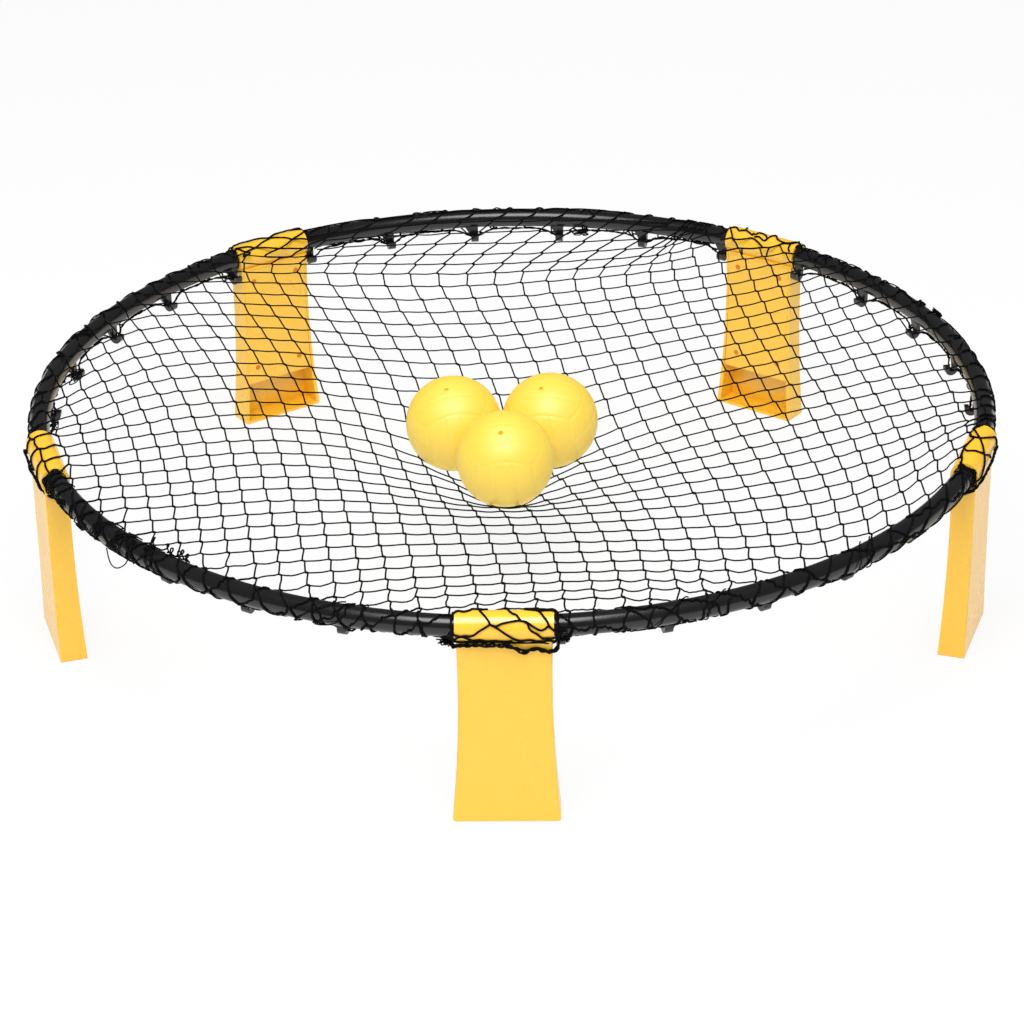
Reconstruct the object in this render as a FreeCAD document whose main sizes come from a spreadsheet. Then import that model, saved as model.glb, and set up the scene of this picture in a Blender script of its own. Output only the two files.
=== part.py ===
import FreeCAD, Part
import math
import os
import Sketcher
from FreeCAD import Placement, Rotation, Vector

# Roundnet set: a ring of five curved tubes joined inside five folding legs, a net over it, three balls.
# The floor is z = 0, the origin lies under the middle of the ring, and the front leg is towards -Y.
# Lengths are in millimetres and angles in degrees.

# What can be set, each with its value and its meaning
SIZES = [
    ("ring_radius", 468, "axis of the rim tubes"),
    ("rim_height", 195, "floor to the rim tubes' axis"),
    ("tube_outer", 20, "rim tube, outside"),
    ("tube_wall", 2, "rim tube's wall"),
    ("tube_gap", 0.4, "between the ends of two rim tubes"),
    ("plug_reach", 30, "joint plug, on each side of the joint"),
    ("plug_wall", 2.2, "joint plug's wall"),
    ("plug_fit", 0.1, "radial gap round the plug's sliding half"),
    ("sleeve_length", 86.5, "leg sleeve, along the rim"),
    ("sleeve_wall", 2.7, "leg sleeve's wall"),
    ("sleeve_fit", 0.3, "least radial gap between sleeve and curved tube"),
    ("leg_face", 10.5, "leg's outer face, outside the sleeve's axis"),
    ("leg_depth", 22.5, "leg, front to back at the waist"),
    ("foot_swell", 4, "leg, deeper at the floor than at the waist"),
    ("waist_width", 83, "leg's least width"),
    ("waist_height", 140, "height of the least width"),
    ("foot_flare", 14.5, "leg, wider at the floor than at the waist"),
    ("crown_drop", 5, "leg's top below the sleeve's axis, outer side"),
    ("shoulder_drop", 11, "leg's top below the sleeve's axis, inner side"),
    ("leg_wall", 2.6, "leg shell's wall"),
    ("seat_ledge", 1.5, "ledge that the panel sits on"),
    ("floor_wall", 3, "foot's sole"),
    ("foot_pocket", 46, "height of the open pocket in the foot"),
    ("corner_round", 3, "leg's lower corners"),
    ("edge_round", 1.5, "edges of the leg's outer face"),
    ("panel_thickness", 2.4, "inner panel"),
    ("panel_gap", 0.3, "gap round the inner panel"),
    ("panel_drop", 13, "panel's top below the sleeve's axis"),
    ("screw_spread", 54, "between the two columns of screws"),
    ("screw_high", 168, "upper screws' height"),
    ("screw_low", 64, "lower screws' height"),
    ("screw_shank", 2.9, "screw's thread, outside"),
    ("screw_length", 12, "screw's thread, length"),
    ("screw_head", 5.6, "screw head, across"),
    ("head_depth", 1.3, "screw head, thickness"),
    ("head_gap", 0.2, "radial gap round head and shank in the panel"),
    ("boss_wall", 2.6, "wall of the screw bosses"),
    ("hook_width", 8, "net hook, along the rim"),
    ("hook_thickness", 4.5, "net hook's post and curl"),
    ("hook_setback", 5, "middle of the hook's post, inside the tube's axis"),
    ("hook_drop", 14, "hook, below the tube"),
    ("hook_mouth", 4, "gap inside the hook's curl"),
    ("hook_tip", 2.5, "straight end of the hook's curl"),
    ("hook_clear", 2, "gap between sleeve and first hook"),
    ("gusset_drop", 9, "hook's gusset, below the tube"),
    ("gusset_run", 8, "hook's gusset, along the rim"),
    ("gusset_thickness", 3, "hook's gusset"),
    ("net_thickness", 2, "net, through its cords"),
    ("net_fit", 0.3, "gap between net and what it touches"),
    ("mesh_pitch", 48, "net, from one cord to the next"),
    ("mesh_cord", 3.2, "net cord's width"),
    ("mesh_turn", 12, "turn of the mesh against the front leg"),
    ("net_edge", 3, "net's edge strand"),
    ("net_leave", 33, "slope where the net leaves the balls"),
    ("net_rise", 8, "net's rim, above the tube's axis"),
    ("wrap_under", 100, "net round the tube, outside to below"),
    ("wrap_inner", 150, "net round the tube, outside to the inner side"),
    ("sleeve_wrap_under", 35, "net round the sleeve, outside to below"),
    ("sleeve_wrap_inner", 158, "net round the sleeve, outside to the inner side"),
    ("wrap_step", 2, "net's step from tube to sleeve"),
    ("ball_size", 97, "ball, outside"),
    ("ball_wall", 3.2, "ball's wall"),
    ("ball_gap", 0.4, "between two balls, and ball to net"),
    ("ball_height", 152, "floor to the balls' middles"),
    ("balls_x", -9, "middle of the three balls"),
    ("balls_y", -0.2, "middle of the three balls"),
    ("balls_turn", 3.2, "turn of the three balls about their middle"),
    ("valve_size", 5, "ball's valve, across"),
]

LEGS = 5
HOOKS = 6
STEP = 360 / LEGS
FRONT = -90

# Ball: name, place round the cluster, and the way its valve points
BALLS = [
    ("front", 270, Vector(-0.08, -0.51, 0.86)),
    ("left", 150, Vector(-0.13, -0.31, 0.94)),
    ("right", 30, Vector(-0.18, -0.35, 0.92)),
]

doc = FreeCAD.newDocument("roundnet_set")
sheet = doc.addObject("Spreadsheet::Sheet", "sizes")
for row, (alias, number, note) in enumerate(SIZES, 1):
    sheet.set(f"A{row}", alias)
    sheet.set(f"B{row}", str(number))
    sheet.setAlias(f"B{row}", alias)
    sheet.set(f"C{row}", note)
doc.recompute()

# Formulas on the sheet's cells
BEND = "(sizes.ring_radius * (1 - cos(asin(sizes.sleeve_length / 2 / sizes.ring_radius))))"
AXLE = f"(sizes.ring_radius - {BEND} / 2)"
BORE = f"(sizes.tube_outer / 2 + {BEND} / 2 + sizes.sleeve_fit)"
SLEEVE = f"({BORE} + sizes.sleeve_wall)"
FACE = f"({AXLE} + sizes.leg_face)"
BACK = f"({FACE} - sizes.leg_depth)"
SEAT = f"({BACK} + sizes.panel_thickness)"
FLARE = "(sizes.foot_flare / 2)"
FLANK = f"((sizes.waist_height^2 + {FLARE}^2) / (2 * {FLARE}))"
HEEL = "sizes.foot_swell"
FOOT_DEPTH = "(sizes.leg_depth + sizes.foot_swell)"
CALF = f"((sizes.waist_height^2 + {HEEL}^2) / (2 * {HEEL}))"
SHOULDER = "(sizes.rim_height - sizes.shoulder_drop)"
CAVITY_TOP = f"(sizes.rim_height - {SLEEVE} - sizes.leg_wall)"
PANEL_TOP = "(sizes.rim_height - sizes.panel_drop)"
TUBE_BORE = "(sizes.tube_outer / 2 - sizes.tube_wall)"
HOOK_PLACE = "(sizes.ring_radius - sizes.hook_setback)"
HOOK_SIDE = "(sizes.sleeve_length / 2 + sizes.hook_clear + sizes.hook_width / 2)"
HOOK_TURN = f"({HOOK_SIDE} / {HOOK_PLACE} * 180 / pi)"
HALF_GAP = "(sizes.tube_gap / 2 / sizes.ring_radius * 180 / pi)"
PLUG_TURN = "(sizes.plug_reach / sizes.ring_radius * 180 / pi)"
WRAP_TURN = "((sizes.sleeve_length / 2 + sizes.net_fit + sizes.wrap_step / 2) / sizes.ring_radius * 180 / pi)"
TUBE_WRAP = "(sizes.tube_outer / 2 + sizes.net_fit)"
SLEEVE_WRAP = f"({SLEEVE} + sizes.net_fit)"
CLUSTER = "((sizes.ball_size + sizes.ball_gap) / sqrt(3))"


def value(formula):
    """The number that a formula gives now."""
    found = sheet.evalExpression(formula)
    return float(getattr(found, "Value", found))


def bind(thing, **formulas):
    """Tie properties of a feature to formulas; Base_x and the like mean its place."""
    for name, formula in formulas.items():
        path = name.replace("Base_", ".Placement.Base.")
        thing.setExpression(path, formula)


def half_width(height, inset="0"):
    """Half of the leg's width at a height, less an inset: the flank is one arc."""
    radius = f"({FLANK} + {inset})"
    return f"(sizes.waist_width / 2 + {FLANK} - sqrt({radius}^2 - ({height} - sizes.waist_height)^2))"


def inner_side(height):
    """Distance of the leg's inner side from the ring's middle at a height."""
    return f"({BACK} - {CALF} + sqrt({CALF}^2 - ({height} - sizes.waist_height)^2))"


# Sketches and features

def add_body(name, turn=0):
    """A body that is turned about the ring's middle by an angle, or by a formula."""
    body = doc.addObject("PartDesign::Body", name)
    body.Label = name
    body.Placement = Placement(Vector(0, 0, 0), Rotation(Vector(0, 0, 1), 1))
    body.setExpression(".Placement.Rotation.Angle", str(turn))
    return body


def add_sketch(body, name, role, offset=None):
    """A sketch on an origin plane of the body, moved out from it by a formula."""
    plane = next(f for f in body.Origin.OriginFeatures if f.Role == role)
    sketch = body.newObject("Sketcher::SketchObject", f"{body.Name}_{name}")
    sketch.AttachmentSupport = [(plane, "")]
    sketch.MapMode = "FlatFace"
    if offset:
        sketch.setExpression(".AttachmentOffset.Base.z", offset)
    return sketch


def tie(sketch, kind, where, formula):
    """Add one constraint whose size follows a formula."""
    index = sketch.addConstraint(Sketcher.Constraint(kind, *where, value(formula)))
    sketch.setExpression(f"Constraints[{index}]", formula)


def place_point(sketch, geometry, end, x, y):
    """Hold one point of the sketch at two formulas."""
    for kind, axis, formula in (("DistanceX", -2, x), ("DistanceY", -1, y)):
        if formula == "0":
            sketch.addConstraint(Sketcher.Constraint("PointOnObject", geometry, end, axis))
        else:
            tie(sketch, kind, (-1, 1, geometry, end), formula)


def add_circle(sketch, x, y, radius):
    """A circle with its middle and radius held by formulas."""
    middle = Vector(value(x), value(y), 0)
    index = sketch.addGeometry(Part.Circle(middle, Vector(0, 0, 1), value(radius)), False)
    place_point(sketch, index, 3, x, y)
    tie(sketch, "Radius", (index,), radius)


def add_outline(sketch, corners, arcs=None):
    """A closed outline through corners; arcs[i] bends side i to a radius, to the left if it is positive."""
    arcs = arcs or {}
    points = [Vector(value(x), value(y), 0) for x, y in corners]
    sides = []
    for number, start in enumerate(points):
        end = points[(number + 1) % len(points)]
        if number not in arcs:
            sides.append((sketch.addGeometry(Part.LineSegment(start, end), False), 1, 2))
            continue
        side, radius = arcs[number]
        bend = value(radius)
        chord = end - start
        left = Vector(-chord.y, chord.x, 0).normalize()
        away = math.sqrt(bend ** 2 - (chord.Length / 2) ** 2) * (-1 if side == "left" else 1)
        middle = (start + end) * 0.5 + left * away
        turns = [math.atan2(point.y - middle.y, point.x - middle.x) for point in (start, end)]
        circle = Part.Circle(middle, Vector(0, 0, 1), bend)
        if side == "left":
            sides.append((sketch.addGeometry(Part.ArcOfCircle(circle, turns[1], turns[0]), False), 2, 1))
        else:
            sides.append((sketch.addGeometry(Part.ArcOfCircle(circle, turns[0], turns[1]), False), 1, 2))
    for number, (index, first, last) in enumerate(sides):
        following = sides[(number + 1) % len(sides)]
        sketch.addConstraint(Sketcher.Constraint("Coincident", index, last, following[0], following[1]))
        place_point(sketch, index, first, *corners[number])
        if number in arcs:
            tie(sketch, "Radius", (index,), arcs[number][1])


def add_feature(body, kind, name, sketch, **settings):
    """A sketch-based feature; text settings that name a size are formulas."""
    feature = body.newObject(f"PartDesign::{kind}", f"{body.Name}_{name}")
    feature.Profile = sketch
    for key, setting in settings.items():
        if isinstance(setting, str) and "sizes." in setting:
            feature.setExpression(key, setting)
        else:
            setattr(feature, key, setting)
    sketch.Visibility = False
    doc.recompute()
    return feature


def round_edges(body, name, base, radius, wanted):
    """A fillet on the edges of a feature that a test picks."""
    picked = [f"Edge{i}" for i, edge in enumerate(base.Shape.Edges, 1) if wanted(edge)]
    fillet = body.newObject("PartDesign::Fillet", f"{body.Name}_{name}")
    fillet.Base = (base, picked)
    fillet.setExpression("Radius", radius)
    doc.recompute()
    return fillet


def spin_about_middle(body, kind, name, sketch, **settings):
    """A revolution or groove about the upright axis through the ring's middle."""
    return add_feature(body, kind, name, sketch, ReferenceAxis=(sketch, ["V_Axis"]), **settings)


# The rim

def hook_outline():
    """The hook in its upright plane: a post, a curl of two quarter arcs each side, and a blunt tip."""
    outer = "(sizes.hook_thickness + sizes.hook_mouth / 2)"
    inner = "(sizes.hook_mouth / 2)"
    post = f"({HOOK_PLACE} + sizes.hook_thickness / 2)"
    curl = f"({post} - {outer})"
    low = f"(sizes.rim_height - sizes.tube_outer / 2 - sizes.hook_drop + {outer})"
    top = "sizes.rim_height"
    tip = f"({low} + sizes.hook_tip)"
    corners = [
        (post, top), (post, low), (curl, f"({low} - {outer})"), (f"({curl} - {outer})", low),
        (f"({curl} - {outer})", tip), (f"({curl} - {inner})", tip), (f"({curl} - {inner})", low),
        (curl, f"({low} - {inner})"), (f"({curl} + {inner})", low), (f"({curl} + {inner})", top),
    ]
    return corners, {1: ("left", outer), 2: ("left", outer), 6: ("right", inner), 7: ("right", inner)}


def add_hook(body):
    """The first hook with its gusset, and the pattern of all of them along the tube."""
    hook_sketch = add_sketch(body, "hook_sketch", "XZ_Plane")
    add_outline(hook_sketch, *hook_outline())
    hook = add_feature(body, "Pad", "hook", hook_sketch, SideType="Symmetric", Length="sizes.hook_width")
    low = "(sizes.rim_height - sizes.tube_outer / 2 - sizes.gusset_drop)"
    side = "(sizes.hook_width / 2)"
    gusset_sketch = add_sketch(body, "gusset_sketch", "YZ_Plane", HOOK_PLACE)
    inside = "(sizes.rim_height - sizes.tube_outer / 4)"
    add_outline(gusset_sketch, [("0", low), (side, low), (f"({side} + sizes.gusset_run)", inside), ("0", inside)])
    gusset = add_feature(body, "Pad", "gusset", gusset_sketch, SideType="Symmetric",
                         Length="sizes.gusset_thickness")
    spread = f"({STEP} - 2 * {HOOK_TURN})"
    add_pattern(body, "hooks", [hook], HOOKS, spread)
    add_pattern(body, "gussets", [gusset], HOOKS - 1, f"({spread} * {(HOOKS - 2) / (HOOKS - 1)})")


def add_pattern(body, name, originals, count, angle):
    """Copies of features, spread over an angle about the ring's middle."""
    axis = next(f for f in body.Origin.OriginFeatures if f.Role == "Z_Axis")
    pattern = body.newObject("PartDesign::PolarPattern", f"{body.Name}_{name}")
    pattern.Originals = originals
    pattern.Axis = (axis, [""])
    pattern.Occurrences = count
    pattern.setExpression("Angle", angle)
    body.Tip = pattern
    doc.recompute()


def make_rim_tube(name, joint):
    """A curved tube with its hooks; its own zero angle is the first hook."""
    body = add_body(name, f"{joint} + {HOOK_TURN}")
    section = add_sketch(body, "section", "XZ_Plane")
    add_circle(section, "sizes.ring_radius", "sizes.rim_height", "(sizes.tube_outer / 2)")
    spin_about_middle(body, "Revolution", "rod", section, Type="TwoAngles",
                      Angle=f"({STEP} - {HOOK_TURN} - {HALF_GAP})", Angle2=f"({HOOK_TURN} - {HALF_GAP})")
    add_hook(body)
    bore = add_sketch(body, "bore_section", "XZ_Plane")
    add_circle(bore, "sizes.ring_radius", "sizes.rim_height", TUBE_BORE)
    spin_about_middle(body, "Groove", "bore", bore, Angle=360)
    return body


def make_rim_plug(name, joint):
    """The curved plug inside a joint: one half is fixed in its tube and the other slides into the next."""
    body = add_body(name, joint)
    for half, radius, backwards in (("fixed", TUBE_BORE, False),
                                    ("sliding", f"({TUBE_BORE} - sizes.plug_fit)", True)):
        section = add_sketch(body, f"{half}_section", "XZ_Plane")
        add_circle(section, "sizes.ring_radius", "sizes.rim_height", radius)
        spin_about_middle(body, "Revolution", half, section, Angle=PLUG_TURN, Reversed=backwards)
    hollow = add_sketch(body, "hollow_section", "XZ_Plane")
    add_circle(hollow, "sizes.ring_radius", "sizes.rim_height",
               f"({TUBE_BORE} - sizes.plug_fit - sizes.plug_wall)")
    spin_about_middle(body, "Groove", "hollow", hollow, Angle=360)
    return body


# The legs

def leg_outline(low, high, inset):
    """The leg seen from outside, between two heights and drawn in by an inset."""
    radius = f"({FLANK} + {inset})"
    corners = [(f"(-{half_width(low, inset)})", low), (half_width(low, inset), low),
               (half_width(high, inset), high), (f"(-{half_width(high, inset)})", high)]
    return corners, {1: ("left", radius), 3: ("left", radius)}


def screw_places():
    """The four screws of a panel."""
    return [(f"({side} * sizes.screw_spread / 2)", height)
            for side in (-1, 1) for height in ("sizes.screw_high", "sizes.screw_low")]


def add_screw_circles(body, name, offset, radius):
    """A sketch of four equal circles, one at each screw."""
    sketch = add_sketch(body, name, "YZ_Plane", offset)
    for x, y in screw_places():
        add_circle(sketch, x, y, radius)
    return sketch


def make_leg_shell(name, turn):
    """The leg's outer shell: a flared box, open to the inside, with the sleeve on top."""
    body = add_body(name, turn)
    front = add_sketch(body, "front", "YZ_Plane", f"({FACE} - {FOOT_DEPTH})")
    add_outline(front, *leg_outline("0", "sizes.rim_height", "0"))
    add_feature(body, "Pad", "block", front, Length=FOOT_DEPTH)

    side = add_sketch(body, "side", "XZ_Plane")
    inside = f"({FACE} - 2 * {FOOT_DEPTH})"
    above = f"(sizes.rim_height + {SLEEVE})"
    beyond = f"({FACE} + {SLEEVE})"
    add_outline(side, [
        (inside, "0"), (f"({FACE} - {FOOT_DEPTH})", "0"), (inner_side(SHOULDER), SHOULDER),
        (FACE, "(sizes.rim_height - sizes.crown_drop)"), (beyond, "(sizes.rim_height - sizes.crown_drop)"),
        (beyond, above), (inside, above),
    ], {1: ("right", CALF)})
    trimmed = add_feature(body, "Pocket", "inner_side", side, SideType="Symmetric",
                          Length="(2 * (sizes.waist_width + sizes.foot_flare))")
    face = value(FACE)
    corners = round_edges(body, "corners", trimmed, "sizes.corner_round", lambda edge: (
        edge.BoundBox.ZMax < 0.01 and edge.BoundBox.YLength < 0.01))
    crown = value("sizes.rim_height") - value("sizes.crown_drop")
    round_edges(body, "face_edges", corners, "sizes.edge_round", lambda edge: (
        edge.BoundBox.XMin > face - 0.01 and edge.BoundBox.ZMin < crown - 0.01))

    sleeve = add_sketch(body, "sleeve_section", "XZ_Plane")
    add_circle(sleeve, AXLE, "sizes.rim_height", SLEEVE)
    add_feature(body, "Pad", "sleeve", sleeve, SideType="Symmetric", Length="sizes.sleeve_length")

    cavity = add_sketch(body, "cavity_outline", "YZ_Plane")
    add_outline(cavity, *leg_outline("sizes.floor_wall", CAVITY_TOP, "(sizes.leg_wall + sizes.seat_ledge)"))
    add_feature(body, "Pocket", "cavity", cavity, Reversed=True, Length=f"({FACE} - sizes.leg_wall)")
    recess = add_sketch(body, "recess_outline", "YZ_Plane")
    add_outline(recess, *leg_outline("(sizes.foot_pocket - sizes.panel_gap)",
                                     f"({PANEL_TOP} + sizes.panel_gap)", "sizes.leg_wall"))
    add_feature(body, "Pocket", "recess", recess, Reversed=True, Length=SEAT)

    boss = add_screw_circles(body, "boss_circles", SEAT, "(sizes.screw_shank / 2 + sizes.boss_wall)")
    depth = "(sizes.leg_depth - sizes.panel_thickness - sizes.leg_wall / 2)"
    add_feature(body, "Pad", "bosses", boss, Length=depth)
    pilot = add_screw_circles(body, "pilot_circles", SEAT, "(sizes.screw_shank / 2)")
    add_feature(body, "Pocket", "pilots", pilot, Reversed=True, Length="sizes.screw_length")

    bore = add_sketch(body, "bore_section", "XZ_Plane")
    add_circle(bore, AXLE, "sizes.rim_height", BORE)
    add_feature(body, "Pocket", "bore", bore, SideType="Symmetric", Length="(2 * sizes.sleeve_length)")
    return body


def make_leg_panel(name, turn):
    """The flat inner panel that closes the leg above its foot pocket."""
    body = add_body(name, turn)
    plate = add_sketch(body, "plate_outline", "YZ_Plane", BACK)
    add_outline(plate, *leg_outline("sizes.foot_pocket", PANEL_TOP, "(sizes.leg_wall + sizes.panel_gap)"))
    add_feature(body, "Pad", "plate", plate, Length="sizes.panel_thickness")
    hole = add_screw_circles(body, "hole_circles", BACK, "(sizes.screw_shank / 2 + sizes.head_gap)")
    add_feature(body, "Pocket", "holes", hole, Reversed=True, Length="(2 * sizes.panel_thickness)")
    sink = add_screw_circles(body, "sink_circles", BACK, "(sizes.screw_head / 2 + sizes.head_gap)")
    add_feature(body, "Pocket", "sinks", sink, Reversed=True, Length="sizes.head_depth")
    return body


def make_leg_screws(name, turn):
    """The panel's four screws."""
    body = add_body(name, turn)
    body.AllowCompound = True
    heads = add_screw_circles(body, "head_circles", BACK, "(sizes.screw_head / 2)")
    add_feature(body, "Pad", "heads", heads, Length="sizes.head_depth")
    shanks = add_screw_circles(body, "shank_circles", BACK, "(sizes.screw_shank / 2)")
    add_feature(body, "Pad", "shanks", shanks, Length="(sizes.panel_thickness + sizes.screw_length / 2)")
    return body


# The net

def band_outline(x, y, inner, outer, low, high):
    """A ring sector round a point, between two angles; each side is drawn as two arcs."""
    middle = f"(({low} + {high}) / 2)"
    ways = [(outer, low), (outer, middle), (outer, high), (inner, high), (inner, middle), (inner, low)]
    corners = [(f"({x} + {radius} * cos({angle}))", f"({y} + {radius} * sin({angle}))")
               for radius, angle in ways]
    return corners, {0: ("right", outer), 1: ("right", outer), 3: ("left", inner), 4: ("left", inner)}


def make_net_border(name):
    """The net's border as one band: wrapped round the tubes, and over the sleeves, which are cut first."""
    body = add_body(name, FRONT)
    reach = "(sizes.sleeve_length + 2 * sizes.net_fit)"
    wall = add_sketch(body, "sleeve_section", "XZ_Plane")
    add_outline(wall, *band_outline(AXLE, "sizes.rim_height", "(sizes.tube_outer / 4)",
                                    f"({SLEEVE_WRAP} + sizes.net_thickness)",
                                    "(-sizes.sleeve_wrap_under)", "sizes.sleeve_wrap_inner"))
    over = add_feature(body, "Pad", "sleeve_wrap", wall, SideType="Symmetric",
                       Length=f"({reach} + 2 * sizes.wrap_step)")
    room = add_sketch(body, "room_section", "XZ_Plane")
    add_circle(room, AXLE, "sizes.rim_height", SLEEVE_WRAP)
    inside = add_feature(body, "Pocket", "sleeve_room", room, SideType="Symmetric", Length=reach)
    around = f"({STEP} * {LEGS - 1})"
    add_pattern(body, "sleeve_wraps", [over, inside], LEGS, around)
    core = add_sketch(body, "core_section", "XZ_Plane")
    add_circle(core, "sizes.ring_radius", "sizes.rim_height", TUBE_WRAP)
    spin_about_middle(body, "Groove", "tube_room", core, Angle=360)
    band = add_sketch(body, "tube_section", "XZ_Plane")
    band.AttachmentOffset = Placement(Vector(0, 0, 0), Rotation(Vector(0, 1, 0), STEP / 2))
    add_outline(band, *band_outline("sizes.ring_radius", "sizes.rim_height", TUBE_WRAP,
                                    f"({TUBE_WRAP} + sizes.net_thickness)",
                                    "(-sizes.wrap_under)", "sizes.wrap_inner"))
    wrap = spin_about_middle(body, "Revolution", "tube_wrap", band, Midplane=True,
                             Angle=f"({STEP} - 2 * {WRAP_TURN})")
    add_pattern(body, "tube_wraps", [wrap], LEGS, around)
    return body


def net_line():
    """The net's upper line: the point where it leaves the balls, and its height at any radius beyond."""
    shift = math.hypot(value("sizes.balls_x"), value("sizes.balls_y"))
    under = value(CLUSTER) + shift
    reach = value("sizes.ball_size") / 2 + value("sizes.ball_gap")
    leave = math.radians(value("sizes.net_leave"))
    middle = value("sizes.ball_height")
    arc = [Vector(under + reach * math.sin(part * leave), 0, middle - reach * math.cos(part * leave))
           for part in (0, 0.5, 1)]
    edge = value("sizes.ring_radius")
    top = value("sizes.rim_height") + value("sizes.net_rise")
    # height = top - log_part * ln(edge / r) - cone_part * (1 - r / edge), with the ball's slope at its start
    start = arc[2]
    log_run = math.log(edge / start.x)
    cone_run = 1 - start.x / edge
    drop = top - start.z
    cone_part = (drop / log_run - math.tan(leave) * start.x) / (cone_run / log_run - start.x / edge)
    log_part = (drop - cone_part * cone_run) / log_run

    def height(r):
        return top - log_part * math.log(edge / r) - cone_part * (1 - r / edge)

    return arc, height


def meet_wrap(height, drop):
    """The point where a line of the net meets the border round the tube, found by halving."""
    axis = Vector(value("sizes.ring_radius"), 0, value("sizes.rim_height"))
    reach = value(TUBE_WRAP) + value("sizes.net_thickness")
    low, high = axis.x - 2 * reach, axis.x
    for _ in range(50):
        r = (low + high) / 2
        inside = math.hypot(r - axis.x, height(r) - drop - axis.z) < reach
        low, high = (low, r) if inside else (r, high)
    return Vector(low, 0, height(low) - drop)


def dished_sheet():
    """A thin solid of revolution: flat in the middle, round the balls, and up to the border."""
    arc, height = net_line()
    thickness = value("sizes.net_thickness")
    spans = 6
    sides = []
    ends = []
    for drop in (0, thickness):
        down = Vector(0, 0, -drop)
        last = meet_wrap(height, drop)
        line = [arc[2] + down]
        for number in range(1, spans):
            r = arc[2].x * (last.x / arc[2].x) ** (number / spans)
            line.append(Vector(r, 0, height(r) - drop))
        line.append(last)
        slope = Part.BSplineCurve()
        slope.interpolate(line)
        centre = Vector(0, 0, arc[0].z - drop)
        sides.append(Part.LineSegment(centre, arc[0] + down).toShape())
        sides.append(Part.Arc(*[point + down for point in arc]).toShape())
        sides.append(slope.toShape())
        ends.append((centre, last))
    axis = Vector(value("sizes.ring_radius"), 0, value("sizes.rim_height"))
    way = ((ends[0][1] - axis) + (ends[1][1] - axis)).normalize()
    bulge = axis + way * (value(TUBE_WRAP) + thickness)
    sides.append(Part.Arc(ends[0][1], bulge, ends[1][1]).toShape())
    sides.append(Part.LineSegment(ends[1][0], ends[0][0]).toShape())
    face = Part.Face(Part.Wire(Part.__sortEdges__(sides)))
    sheet_solid = face.revolve(Vector(0, 0, 0), Vector(0, 0, 1), 360)
    length = value("sizes.sleeve_length") + 2 * (value("sizes.net_fit") + value("sizes.wrap_step"))
    for number in range(LEGS):
        drum = Part.makeCylinder(value(SLEEVE_WRAP) + thickness, length,
                                 Vector(value(AXLE), -length / 2, value("sizes.rim_height")), Vector(0, 1, 0))
        drum.rotate(Vector(0, 0, 0), Vector(0, 0, 1), FRONT + STEP * number)
        sheet_solid = sheet_solid.cut(drum)
    return sheet_solid


def holed_disc():
    """A disc with the square gaps of the mesh; gaps at the edge follow the edge strand."""
    pitch = value("sizes.mesh_pitch")
    gap = pitch - value("sizes.mesh_cord")
    edge = value("sizes.ring_radius")
    strand = value(SLEEVE_WRAP) + value("sizes.net_thickness") + value("sizes.net_edge")
    inner = Part.Face(Part.Wire(Part.Circle(Vector(0, 0, 0), Vector(0, 0, 1), edge - strand).toShape()))
    cells = int(edge / pitch) + 1
    holes = []
    for column in range(-cells, cells):
        for row in range(-cells, cells):
            corner = Vector(column * pitch + (pitch - gap) / 2, row * pitch + (pitch - gap) / 2, 0)
            hole = Part.makePlane(gap, gap, corner)
            hole.rotate(Vector(0, 0, 0), Vector(0, 0, 1), value("sizes.mesh_turn"))
            hole = hole.common(inner)
            if hole.Area > gap * gap / 12:
                holes.append(hole.Faces[0])
    outer = Part.Wire(Part.Circle(Vector(0, 0, 0), Vector(0, 0, 1), edge).toShape())
    print("gaps in the net:", len(holes))
    return Part.Face(outer).cut(Part.Compound(holes)).Faces[0]


def make_net(name):
    """The net's mesh as one holed face, dished under the balls, up to the border."""
    tall = value("sizes.rim_height") + value("sizes.ball_size")
    mesh = holed_disc().extrude(Vector(0, 0, tall)).common(dished_sheet())
    feature = doc.addObject("Part::Feature", name)
    feature.Label = name
    feature.Shape = max(mesh.Solids, key=lambda solid: solid.Volume)
    feature.Placement = Placement()
    return feature


# The balls

def add_cut(name, base, tool):
    """One shape less another."""
    cut = doc.addObject("Part::Cut", name)
    cut.Base, cut.Tool = base, tool
    doc.recompute()
    return cut


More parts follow.
